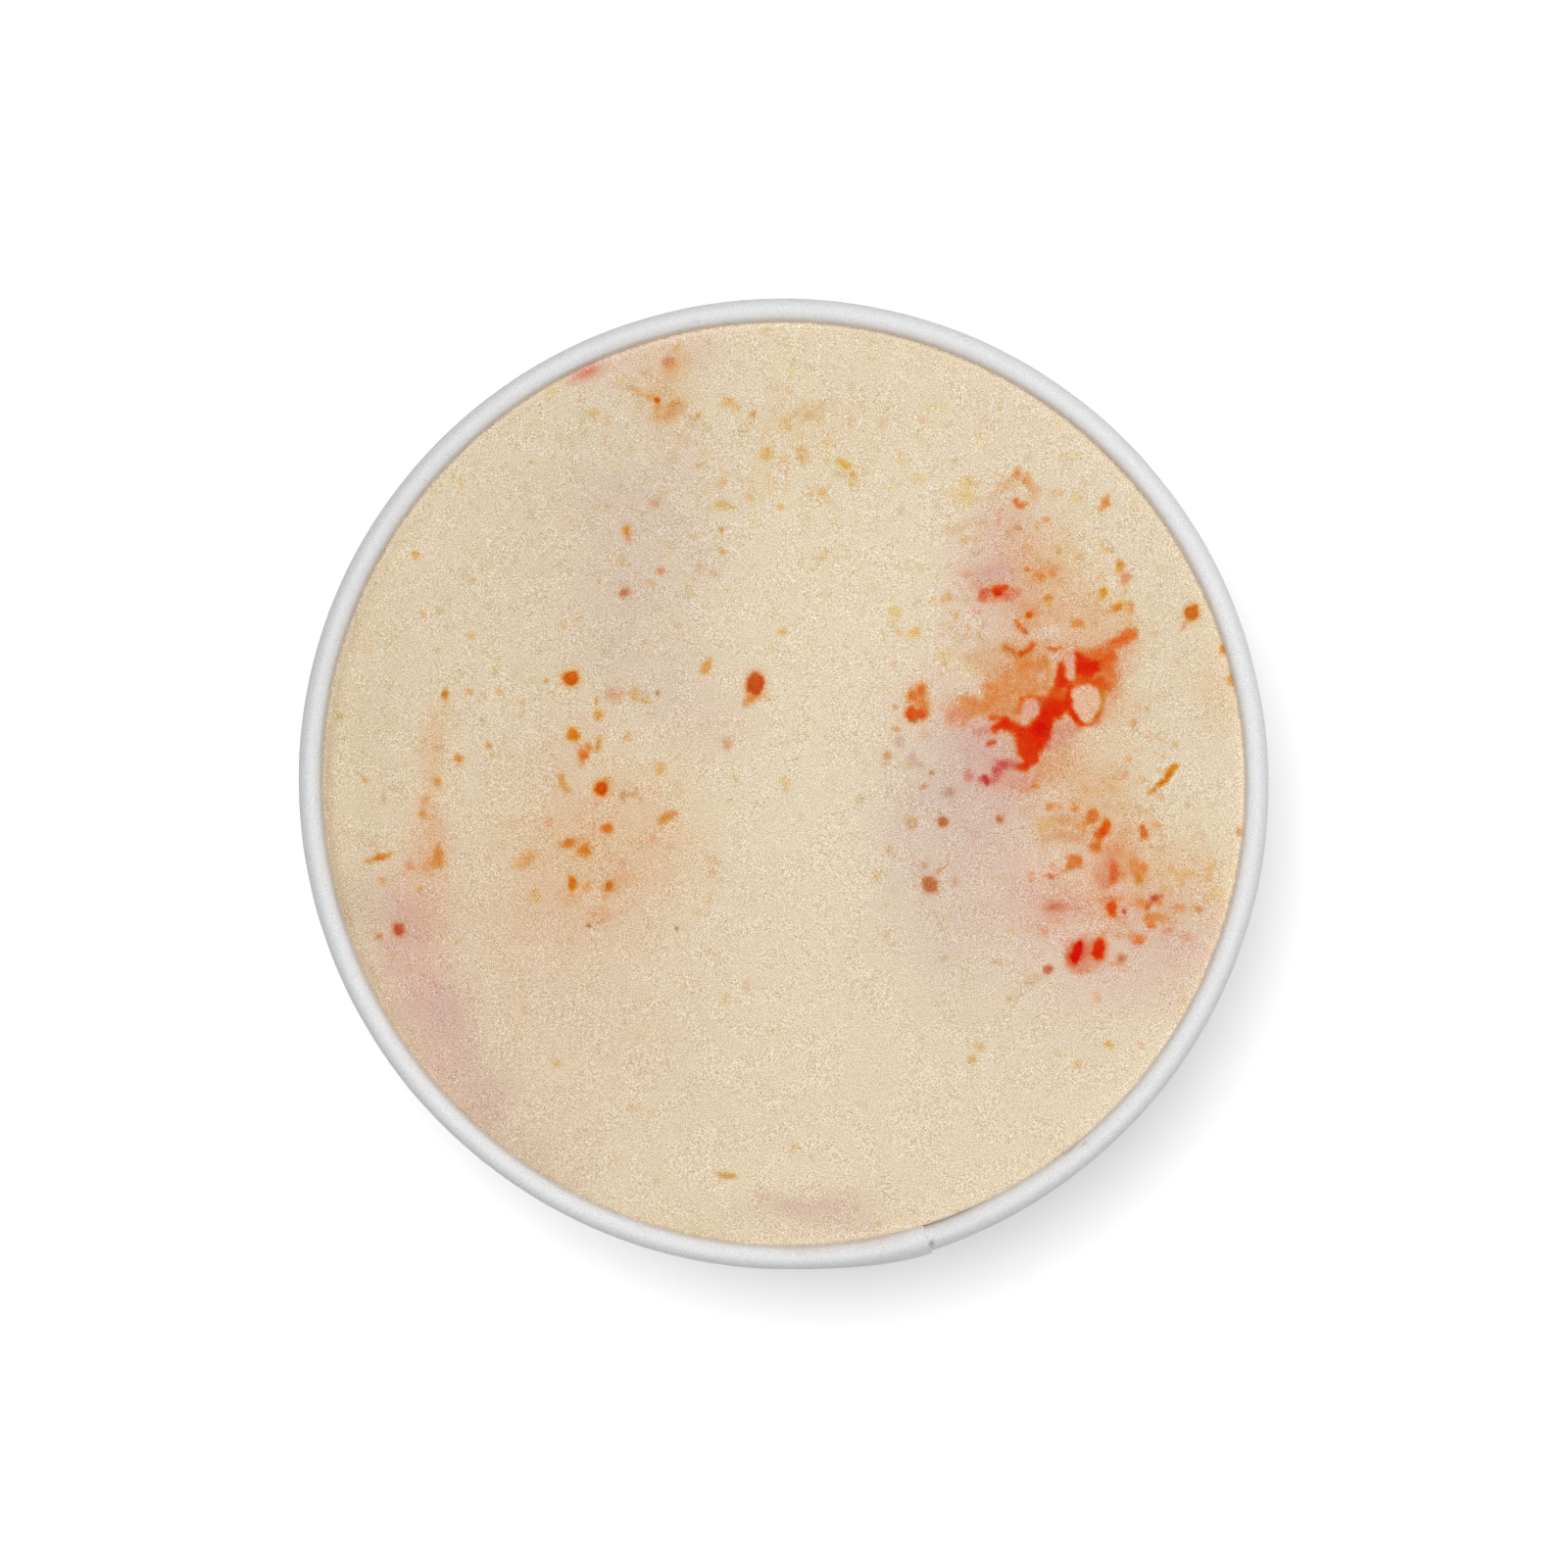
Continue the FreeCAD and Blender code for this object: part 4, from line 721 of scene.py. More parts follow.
    (29.29, -15.93, 0.48, 0.58, -3, "deep_red", 1, 0.15),
    (21.11, 19.32, 0.87, 0.48, 0, "orange_red", 1, 0.15),
]


def rgb(r, g, b):
    """An sRGB colour, 0 to 255, as linear light."""
    c = np.array([r, g, b], float) / 255.0
    return np.where(c <= 0.04045, c / 12.92, ((c + 0.055) / 1.055) ** 2.4)


TINTS = {
    "cream": rgb(225, 208, 182),
    "cool_cream": rgb(214, 199, 175),
    "dull_cream": rgb(214, 195, 167),
    "dull_rose": rgb(214, 190, 163),
    "frost": rgb(226, 212, 196),
    "peach_cream": rgb(226, 181, 151),
    "pale_salmon": rgb(220, 162, 138),
    "rust": rgb(203, 88, 10),
    "rust_red": rgb(205, 74, 4),
    "rust_brown": rgb(194, 72, 24),
    "clay": rgb(186, 104, 62),
    "honey": rgb(216, 168, 104),
    "gold": rgb(218, 172, 84),
    "amber": rgb(212, 112, 18),
    "brick": rgb(186, 80, 44),
    "deep_red": rgb(208, 14, 0),
    "rose_tan": rgb(214, 172, 146),
    "warm_cream": rgb(230, 213, 187),
    "yellow_cream": rgb(227, 206, 164),
    "pale_pink": rgb(222, 202, 184),
    "pale_rose": rgb(214, 184, 168),
    "rose": rgb(204, 124, 106),
    "rose_grey": rgb(203, 172, 156),
    "edge_shade": rgb(186, 164, 146),
    "rose_brown": rgb(182, 138, 118),
    "mauve_grey": rgb(207, 184, 168),
    "mauve": rgb(204, 178, 170),
    "mauve_pink": rgb(207, 164, 154),
    "salmon": rgb(216, 136, 104),
    "peach": rgb(213, 155, 108),
    "tan": rgb(204, 160, 114),
    "ochre": rgb(206, 158, 88),
    "ochre_light": rgb(216, 180, 104),
    "olive": rgb(190, 172, 124),
    "yellow": rgb(224, 196, 112),
    "orange": rgb(217, 110, 42),
    "orange_deep": rgb(220, 88, 14),
    "orange_brown": rgb(200, 106, 28),
    "orange_red": rgb(217, 72, 14),
    "red": rgb(215, 33, 0),
    "coral": rgb(211, 122, 80),
    "coral_red": rgb(203, 70, 38),
    "crimson": rgb(184, 34, 32),
    "brown": rgb(150, 78, 34),
    "red_brown": rgb(156, 54, 30),
    "dark": rgb(92, 62, 30),
}
LOG_TINTS = {k: np.log(np.maximum(v, 4e-4)) for k, v in TINTS.items()}


def smooth(lo, hi, v):
    k = np.clip((v - lo) / (hi - lo), 0.0, 1.0)
    return k * k * (3.0 - 2.0 * k)


def lattice(ix, iy, seed):
    h = (ix.astype(np.int64) * 374761393 + iy.astype(np.int64) * 668265263 + seed * 974634777) & 0xFFFFFFFF
    h = ((h ^ (h >> 13)) * 1274126177) & 0xFFFFFFFF
    h = (h ^ (h >> 16)) & 0xFFFFFFFF
    return (h & 0xFFFFFF) / float(0xFFFFFF)


def noise(x, y, size, seed, stretch=1.0, heading=0.0):
    """Smooth gradient noise, about -1 to 1, with features about size mm across."""
    if heading:
        c, s = math.cos(math.radians(heading)), math.sin(math.radians(heading))
        x, y = x * c + y * s, -x * s + y * c
    u, v = x / (size * stretch), y / size
    iu, iv = np.floor(u), np.floor(v)
    fu, fv = u - iu, v - iv
    su, sv = fu * fu * fu * (fu * (fu * 6 - 15) + 10), fv * fv * fv * (fv * (fv * 6 - 15) + 10)
    out = 0.0
    for du in (0, 1):
        for dv in (0, 1):
            a = lattice(iu + du, iv + dv, seed) * 2.0 * math.pi
            dot = np.cos(a) * (fu - du) + np.sin(a) * (fv - dv)
            out = out + dot * (su if du else 1 - su) * (sv if dv else 1 - sv)
    return out * 1.6


def rough(x, y, size, seed, octaves=3, fall=0.5, stretch=1.0, heading=0.0):
    total, amp, norm = 0.0, 1.0, 0.0
    for i in range(octaves):
        total = total + amp * noise(x, y, size / 2 ** i, seed + 17 * i, stretch, heading)
        norm += amp * amp
        amp *= fall
    return total / math.sqrt(norm)


def outline_depth(x, y, pts):
    """Signed distance in mm to a closed outline, positive inside."""
    best = np.full(x.shape, 1e9)
    inside = np.zeros(x.shape, bool)
    n = len(pts)
    for i in range(n):
        (x0, y0), (x1, y1) = pts[i], pts[(i + 1) % n]
        dx, dy = x1 - x0, y1 - y0
        k = np.clip(((x - x0) * dx + (y - y0) * dy) / (dx * dx + dy * dy), 0, 1)
        best = np.minimum(best, (x - x0 - k * dx) ** 2 + (y - y0 - k * dy) ** 2)
        cross = ((y0 > y) != (y1 > y)) & (x < (x1 - x0) * (y - y0) / ((y1 - y0) or 1e-12) + x0)
        inside ^= cross
    d = np.sqrt(best)
    return np.where(inside, d, -d)


def line_gap(x, y, pts):
    """Distance in mm to an open line of points."""
    best = np.full(x.shape, 1e9)
    for (x0, y0), (x1, y1) in zip(pts[:-1], pts[1:]):
        dx, dy = x1 - x0, y1 - y0
        k = np.clip(((x - x0) * dx + (y - y0) * dy) / (dx * dx + dy * dy), 0, 1)
        best = np.minimum(best, (x - x0 - k * dx) ** 2 + (y - y0 - k * dy) ** 2)
    return np.sqrt(best)


def oval_reach(x, y, cx, cy, w, h, angle):
    """Distance from an oval's middle, 1 at its edge."""
    c, s = math.cos(math.radians(angle)), math.sin(math.radians(angle))
    u, v = (x - cx) * c + (y - cy) * s, -(x - cx) * s + (y - cy) * c
    return np.sqrt((2 * u / w) ** 2 + (2 * v / h) ** 2)


def cream_colour(x, y):
    """Linear colour of the ice cream's top at x, y in mm, fruit and all."""
    x, y = np.asarray(x, float), np.asarray(y, float)
    log = np.empty(x.shape + (3,))
    log[:] = LOG_TINTS["cream"]

    def lay(idx, m, tint):
        log[idx] += m[..., None] * (LOG_TINTS[tint] - log[idx])

    # drifting unevenness of the cream, then the broad veils of syrup under the surface, among them painted shade along
    # the left and lower left edge (the edge_shade veils and the dull strip at the left wall)
    bx, by = x + 1.5 * noise(x, y, 9.0, 5), y + 1.5 * noise(x, y, 9.0, 6)
    drift = rough(bx, by, 5.5, 31, 3)
    log += drift[..., None] * np.array([0.006, 0.009, 0.014])
    patchy = 1.0 + 0.30 * rough(bx, by, 3.4, 41, 3)
    for cx, cy, w, h, angle, tint, strength in VEILS:
        r = oval_reach(bx, by, cx, cy, w, h, angle)
        idx = np.nonzero(r < 2.4)
        lay(idx, np.clip(strength * patchy[idx], 0, 1) * np.exp(-r[idx] ** 2), tint)
    for pts, width, tint, strength in BANDS:
        r = line_gap(bx, by, pts) / (0.5 * width)
        idx = np.nonzero(r < 2.4)
        lay(idx, np.clip(strength * patchy[idx], 0, 1) * np.exp(-r[idx] ** 2), tint)

    # painted shade along the wall on the left, where the cream's edge turns down away from the light
    r, th = np.hypot(x, y), np.degrees(np.arctan2(y, x)) % 360.0
    log -= (0.20 * np.exp(-((r - 45.15) / 0.42) ** 2) * np.exp(-((th - 182.0) / 26.0) ** 2))[..., None] * np.array([0.8, 1.0, 1.3])
    log -= (0.05 * np.exp(-((r - 44.9) / 0.8) ** 2) * np.exp(-((th - 200.0) / 60.0) ** 2))[..., None] * np.array([0.9, 1.0, 1.2])

    # the faint scatter of small grains
    wx = x + 0.10 * noise(x, y, 1.1, 11) + 0.07 * noise(x, y, 0.5, 12) + 0.045 * noise(x, y, 0.26, 15)
    wy = y + 0.10 * noise(x, y, 1.1, 13) + 0.07 * noise(x, y, 0.5, 14) + 0.045 * noise(x, y, 0.26, 16)
    for cx, cy, w, h, angle, tint, strength, soft in FAINT:
        reach = 0.5 * max(w, h) + 2.5 * soft
        idx = np.nonzero((np.abs(wx - cx) < reach) & (np.abs(wy - cy) < reach))
        r = oval_reach(wx[idx], wy[idx], cx, cy, w, h, angle)
        d = (1.0 - r) * 0.5 * min(w, h)
        lay(idx, strength * smooth(-soft, soft, d), tint)

    # the ripple: frayed edges, and pale frost through its thin parts
    grit = rough(x, y, 0.80, 71, 3, 0.75)
    fray = 0.12 * noise(x, y, 0.95, 73) + 0.09 * noise(x, y, 0.45, 74) + 0.06 * noise(x, y, 0.24, 75)
    for group in (SHEETS, ISLANDS):
        for pts, soft, tint, strength in group:
            xs, ys = [p[0] for p in pts], [p[1] for p in pts]
            pad = 2.0 * soft + 0.5
            idx = np.nonzero((wx > min(xs) - pad) & (wx < max(xs) + pad) & (wy > min(ys) - pad) & (wy < max(ys) + pad))
            d = outline_depth(wx[idx], wy[idx], pts) + fray[idx] * min(1.0, 0.5 + 2.0 * soft)
            thin = 1.0 - strength
            m = smooth(-1.25 * soft, 1.25 * soft, d) * strength * (1.0 + (0.08 + 0.62 * thin) * grit[idx])
            lay(idx, np.clip(m, 0, 1), tint)

    for pts, width, soft, tint, strength in THREADS:
        xs, ys = [p[0] for p in pts], [p[1] for p in pts]
        pad = 0.5 * width + 2.0 * soft + 0.3
        idx = np.nonzero((wx > min(xs) - pad) & (wx < max(xs) + pad) & (wy > min(ys) - pad) & (wy < max(ys) + pad))
        d = 0.5 * width - line_gap(wx[idx], wy[idx], pts) + 0.6 * fray[idx] * min(1.0, 0.5 + width)
        m = smooth(-1.2 * soft, 1.2 * soft, d) * strength * (1.0 + (0.10 + 0.5 * (1.0 - strength)) * grit[idx])
        lay(idx, np.clip(m, 0, 1), tint)

    # fruit bits, each with a little colour bled round it
    for cx, cy, w, h, angle, tint, strength, soft in BITS:
        size = min(w, h)
        reach = 0.5 * max(w, h) + 3.0 * soft + 0.5
        idx = np.nonzero((np.abs(wx - cx) < reach) & (np.abs(wy - cy) < reach))
        r = oval_reach(wx[idx], wy[idx], cx, cy, w, h, angle)
        d = (1.0 - r) * 0.5 * size + (0.5 + 0.6 * (1.0 - strength)) * fray[idx] * min(1.0, 0.5 + size)
        halo = np.exp(-(np.minimum(d - 0.1, 0.0) / (0.20 + 0.22 * size)) ** 2)
        lay(idx, 0.17 * strength * halo, tint)
        body = strength * (0.94 + (0.10 + 0.55 * (1.0 - strength)) * grit[idx])
        lay(idx, np.clip(body, 0, 1) * smooth(-1.15 * soft, 1.15 * soft, d), tint)
    return np.exp(log)




def scattered():
    """Faint grains of fruit and small stains, thick in the upper half and round the ripple."""
    rng = np.random.default_rng(2309)
    out = []
    # middle x, y, spread x, y, how many, tints
    fields = [
        (0.0, 33.0, 34.0, 13.0, 300, ("tan", "ochre", "yellow", "peach", "olive")),
        (-22.0, 26.0, 16.0, 14.0, 130, ("olive", "tan", "ochre")),
        (22.0, 24.0, 16.0, 15.0, 140, ("tan", "ochre", "peach", "yellow")),
        (-17.0, -4.0, 11.0, 12.0, 110, ("peach", "tan", "coral", "ochre")),
        (33.0, -7.0, 9.0, 12.0, 130, ("orange", "peach", "coral", "ochre")),
        (25.0, 15.0, 11.0, 13.0, 90, ("orange", "peach", "coral", "tan")),
        (-35.0, 0.0, 7.0, 20.0, 50, ("tan", "olive", "orange_brown")),
        (0.0, 0.0, 40.0, 40.0, 160, ("tan", "ochre", "olive")),
    ]
    for cx, cy, sx, sy, count, tints in fields:
        for i in range(count):
            x, y = cx + sx * rng.normal() * 0.6, cy + sy * rng.normal() * 0.6
            size = 0.28 + 0.55 * rng.random() ** 1.6
            out.append((
                x, y, size * (1.0 + 0.8 * rng.random()), size, 180.0 * rng.random(),
                tints[int(rng.integers(len(tints)))], 0.10 + 0.26 * rng.random() ** 1.5, 0.16 + 0.14 * rng.random(),
            ))
    return [g for g in out if math.hypot(g[0], g[1]) < 45.2]


FAINT = scattered()


# ---- meshes --------------------------------------------------------------------------
def mesh_piece(name, points, faces, material, replaced=(), smooth=True):
    """A piece from points in mm that rides on the cup."""
    me = bpy.data.meshes.new(name)
    me.from_pydata((np.asarray(points, float) * MM).tolist(), [], [tuple(int(i) for i in f) for f in faces])
    me.update()
    if smooth:
        me.polygons.foreach_set("use_smooth", np.ones(len(me.polygons), bool))
    me.materials.append(material)
    ob = bpy.data.objects.new(name, me)
    bpy.context.scene.collection.objects.link(ob)
    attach(ob, "root")
    if replaced:
        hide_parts(*replaced)
    return ob


def set_colours(ob, name, rgb_values):
    layer = ob.data.color_attributes.new(name, "FLOAT_COLOR", "POINT")
    rgba = np.ones((len(rgb_values), 4), np.float32)
    rgba[:, :3] = rgb_values
    layer.data.foreach_set("color", rgba.ravel())


def set_values(ob, name, values):
    layer = ob.data.attributes.new(name, "FLOAT", "POINT")
    layer.data.foreach_set("value", np.asarray(values, np.float32))


def set_map(ob, uv_of_corner):
    """Lays out the piece's faces flat, one place for each face corner."""
    layer = ob.data.uv_layers.new(name="OFBake")
    layer.data.foreach_set("uv", np.asarray(uv_of_corner, np.float32).ravel())


def corner_points(ob):
    idx = np.zeros(len(ob.data.loops), np.int32)
    ob.data.loops.foreach_get("vertex_index", idx)
    return idx


# ---- the paper wall ------------------------------------------------------------------
def at_depth(q, z):
    return (BASE_R + z * TA - q / CA, z)


def seam_values(deg):
    """At a plan angle of -deg: lift of the lone layer, and growth of the roll's radius."""
    if deg <= RAMP_FROM or deg >= SETTLE_TO:
        return 0.0, 0.0
    if deg <= LAP_INNER_EDGE:
        k = min(1.0, max(0.0, (deg - 60.0) / (LAP_INNER_EDGE - 60.0)))
        lift = LAP_T * k * k * (3.0 - 2.0 * k)
        k = (deg - RAMP_FROM) / (LAP_INNER_EDGE - RAMP_FROM)
        return lift, 0.5 * ((LAP_ROLL_GROW - LAP_T) * k ** 1.3 + lift)
    k = (deg - LAP_INNER_EDGE) / (SETTLE_TO - LAP_INNER_EDGE)
    return 0.0, 0.25 * LAP_ROLL_GROW * (1.0 + math.cos(math.pi * k))


def rounded(p0, p, p1, radius, n):
    """Points along the round at corner p, from its first tangent point to its last."""
    p0, p, p1 = np.array(p0), np.array(p), np.array(p1)
    d0, d1 = (p0 - p) / np.linalg.norm(p0 - p), (p1 - p) / np.linalg.norm(p1 - p)
    half = 0.5 * math.acos(float(d0 @ d1))
    mid = (d0 + d1) / np.linalg.norm(d0 + d1)
    centre = p + mid * radius / math.sin(half)
    s, e = p + d0 * radius / math.tan(half), p + d1 * radius / math.tan(half)
    a0 = math.atan2(*(s - centre)[::-1])
    a1 = math.atan2(*(e - centre)[::-1])
    turn = (a1 - a0 + math.pi) % (2 * math.pi) - math.pi
    return [tuple(centre + radius * np.array((math.cos(a0 + turn * i / n), math.sin(a0 + turn * i / n)))) for i in range(n + 1)]


def between(p, q, n):
    """n points from p towards q, without q."""
    return [(p[0] + (q[0] - p[0]) * i / n, p[1] + (q[1] - p[1]) * i / n) for i in range(n)]


def wall_section(a, b, roll_r):
    """Closed outline of the board: rolled rim, cone wall, fold and tucked-in leg."""
    t, tb = PAPER_T, FLOOR_T
    cx, cz = at_depth(t - roll_r, HEIGHT - roll_r)
    inner_r, outer_r = roll_r - t - a, roll_r - b
    a0, a3 = math.pi - ALPHA, math.radians(CURL_END)

    def arc(radius, lo, hi, n):
        return [(cx + radius * math.cos(lo + (hi - lo) * i / n), cz + radius * math.sin(lo + (hi - lo) * i / n)) for i in range(n)]

    q4, q3, q2 = 2.0 * (t + GLUE_T) + tb + a, t + 2.0 * GLUE_T + tb + b, t - b
    zi = t + a - b
    v1, v2 = at_depth(-a, 0.0), at_depth(q4, 0.0)
    l1, l2 = at_depth(q4, FOLD_TOP_Z), at_depth(q3, FOLD_TOP_Z)
    w1, w2 = at_depth(q3, zi), at_depth(q2, zi)
    start = (cx + inner_r * math.cos(a0), cz + inner_r * math.sin(a0))
    end = (cx + outer_r * math.cos(a0), cz + outer_r * math.sin(a0))
    foot1, foot2 = rounded(start, v1, v2, FOOT_R, 5), rounded(v1, v2, l1, FOOT_R, 5)
    in1, in2 = rounded(l2, w1, w2, FOLD_INSIDE_R, 2), rounded(w1, w2, end, FOLD_INSIDE_R, 2)
    out = arc(inner_r, a3, a0, 20)
    out += between(start, foot1[0], 44)
    out += foot1 + foot2
    out += between(foot2[-1], l1, 3)[1:] + between(l1, l2, 1) + between(l2, in1[0], 3)
    out += in1 + in2
    out += between(in2[-1], end, 10)[1:]
    out += arc(outer_r, a0, math.pi / 2, 15) + arc(outer_r, math.pi / 2, math.radians(-15.0), 18)
    out += arc(outer_r, math.radians(-15.0), a3, 14)
    out.append((cx + outer_r * math.cos(a3), cz + outer_r * math.sin(a3)))
    return np.array(out)


def out_of_round(th, z):
    """How far the cup's wall stands out from a true circle."""
    away = 0.145 * np.cos(2 * th + math.radians(99.0)) + 0.060 * np.cos(3 * th - math.radians(154.0)) - 0.06
    return smooth(0.25, 1.0, z / HEIGHT) * away


def wall_angles():
    """Plan angles below +X: closer together at the lap's cut edges and at the small marks."""
    degs = set(round(v, 4) for v in np.arange(0.0, 360.0, 1.0))
    degs |= set(round(v, 4) for v in np.arange(48.0, 90.0, 0.5))
    for lo, hi, step in ((48.4, 53.6, 0.2), (257.4, 261.0, 0.2), (71.5, 73.6, 0.12), (82.1, 82.9, 0.12)):
        degs |= set(round(v, 4) for v in np.arange(lo, hi, step))
    for cut in (LAP_INNER_EDGE, LAP_OUTER_EDGE):
        degs = {d for d in degs if abs(d - cut) > 0.09}
        degs |= {cut - 0.035, cut + 0.035}
    degs = sorted(degs)
    return [d for i, d in enumerate(degs) if i == 0 or d - degs[i - 1] > 0.045]


def make_wall(material):
    degs = wall_angles()
    rings = []
    for deg in degs:
        lift, grow = seam_values(deg)
        if RAMP_FROM < deg < LAP_INNER_EDGE:
            a = b = lift
        elif LAP_INNER_EDGE < deg < LAP_OUTER_EDGE:
            a, b = LAP_T, 0.0
        else:
            a = b = 0.0
        rings.append(wall_section(a, b, BEAD_R + grow))
    rings = np.array(rings)                                   # angle, profile, (r, z)
    na, npr = rings.shape[:2]
    th = np.radians(-np.array(degs))[:, None]
    r, z = rings[..., 0].copy(), rings[..., 1].copy()

    # a hand's grip and the lid leave the roll a little out of round and uneven
    r += out_of_round(th, z)
    arc_mm = th * RIM_R + 0 * r
    on_roll = smooth(HEIGHT - 2.6, HEIGHT - 1.6, z)
    wob = rough(arc_mm, 0 * arc_mm + 3.3, 9.0, 301, 2) + 0.5 * noise(arc_mm, 0 * arc_mm, 3.1, 305)
    r += on_roll * 0.022 * wob
    z -= on_roll * 0.018 * (1.2 + rough(arc_mm, 0 * arc_mm + 9.1, 7.0, 311, 2))
    body = smooth(3.0, 12.0, z) * (1 - smooth(HEIGHT - 9.0, HEIGHT - 3.0, z))
    r += body * 0.045 * rough(arc_mm * 0.8, z, 16.0, 321, 2)
    # a small crease on the roll's inner slope, and a nick across the rim from it
    for at, rr, along, across, deep in (
        (-50.25, 46.28, 0.42, 0.36, 0.20), (-52.2, 45.98, 0.95, 0.16, 0.10), (100.8, 46.30, 0.30, 0.26, 0.10),
    ):
        s = ((th - math.radians(at) + math.pi) % (2 * math.pi) - math.pi) * rr
        g = np.exp(-((s - 0.5 * (r - rr)) / along) ** 2 - ((r - rr) / across) ** 2) * smooth(HEIGHT - 1.9, HEIGHT - 1.2, z)
        z -= deep * g
    # the crimped foot
    foot = smooth(0.15, 0.6, z) * (1 - smooth(6.4, 7.0, z)) * (r > BASE_R - 0.3 + z * TA)
    r += foot * 0.028 * np.sin(np.degrees(th) * 2.0 * math.pi / 1.6) * (0.8 + 0.2 * noise(arc_mm, z, 2.0, 331))
    dent = smooth(5.6, 6.1, z) * (1 - smooth(6.5, 7.2, z)) * (r > BASE_R - 0.3 + z * TA)
    r -= 0.07 * dent

    pts = np.stack([r * np.cos(th), r * np.sin(th), z], -1).reshape(-1, 3)
    i, j = np.meshgrid(np.arange(na), np.arange(npr), indexing="ij")
    i2, j2 = (i + 1) % na, (j + 1) % npr
    faces = np.stack([i * npr + j, i * npr + j2, i2 * npr + j2, i2 * npr + j], -1).reshape(-1, 4)
    ob = mesh_piece("paper_wall", pts, faces, material, ("sidewall",))

    # cream smeared on the roll beside the lap; painted light and shade across the roll (lighter inner slope, darker
    # outer slope, turned towards the light); painted shade under the lap's step and in the small crease and nicks
    x, y = pts[:, 0], pts[:, 1]
    rr, deg = np.hypot(x, y), (-np.degrees(np.arctan2(y, x))) % 360.0
    tint = np.ones((len(pts), 3))
    # painted light and shade: the roll's tone falls from its lit inner slope to its shaded outer slope, shifted round
    # towards the light
    reach = rr + 0.25 * np.cos(np.radians(deg - 160.0))
    painted_roll_shading = np.interp(reach, (45.70, 46.09, 46.48, 46.77, 47.06, 47.35, 47.64, 48.03), (1.17, 1.09, 1.03, 0.985, 0.95, 0.90, 0.83, 0.78))
    upper_half = smooth(HEIGHT - 2.2, HEIGHT - 1.4, pts[:, 2]) * (rr > 45.2)
    tint *= (1 + upper_half * (painted_roll_shading - 1))[:, None]
    inner = (1 - smooth(46.2, 47.1, rr)) * smooth(HEIGHT - 2.6, HEIGHT - 1.4, pts[:, 2])
    smear = inner * smooth(73.5, 77.0, deg) * (1 - smooth(88.0, 92.0, deg)) * (0.6 + 0.4 * noise(x, y, 1.2, 341))
    tint *= 1 + smear[:, None] * (np.array([0.93, 0.86, 0.82]) - 1)
    wet = (1 - smooth(45.75, 46.15, rr)) * smooth(HEIGHT - 3.5, HEIGHT - 2.5, pts[:, 2]) * (0.55 + 0.45 * rough(x, y, 2.4, 345, 2))
    tint *= 1 + np.clip(wet, 0, 1)[:, None] * (np.array([0.985, 0.965, 0.935]) - 1)
    # painted shade under the step at the lap's cut edge
    v = np.exp(-(((deg - 72.25 - 0.25 * (rr - RIM_R)) * 0.82) / 0.24) ** 2 - ((rr - (RIM_R - 0.35)) / 0.36) ** 2) * smooth(HEIGHT - 2.0, HEIGHT - 1.0, pts[:, 2])
    tint *= (1 - 0.50 * v)[:, None]
    # painted shade in the small crease and nicks on the roll
    for at, rc, along, across, dark in ((50.25, 46.28, 0.40, 0.13, 0.30), (52.3, 45.95, 1.0, 0.12, 0.22), (259.2, 46.30, 0.28, 0.16, 0.16)):
        s = (deg - at) * math.pi / 180.0 * rc
        g = np.exp(-((s + 0.4 * (rr - rc)) / along) ** 2 - ((rr - rc) / across) ** 2) * smooth(HEIGHT - 2.2, HEIGHT - 1.4, pts[:, 2])
        tint *= (1 - dark * g)[:, None]
    set_colours(ob, "Tint", tint)

    # flat layout: plan angle across, the board's outline up
    step = np.hypot(*np.diff(rings[0], axis=0, append=rings[0][:1]).T)
    run = np.concatenate([[0.0], np.cumsum(step)])
    run = run / run[-1]
    across = np.append(np.array(degs), 360.0) / 360.0
    u = np.stack([across[i], across[i], across[i + 1], across[i + 1]], -1).reshape(-1)
    w = np.stack([run[j], run[j + 1], run[j + 1], run[j]], -1).reshape(-1)
    set_map(ob, np.stack([0.004 + 0.992 * u, 0.004 + 0.992 * w], -1))
    return ob


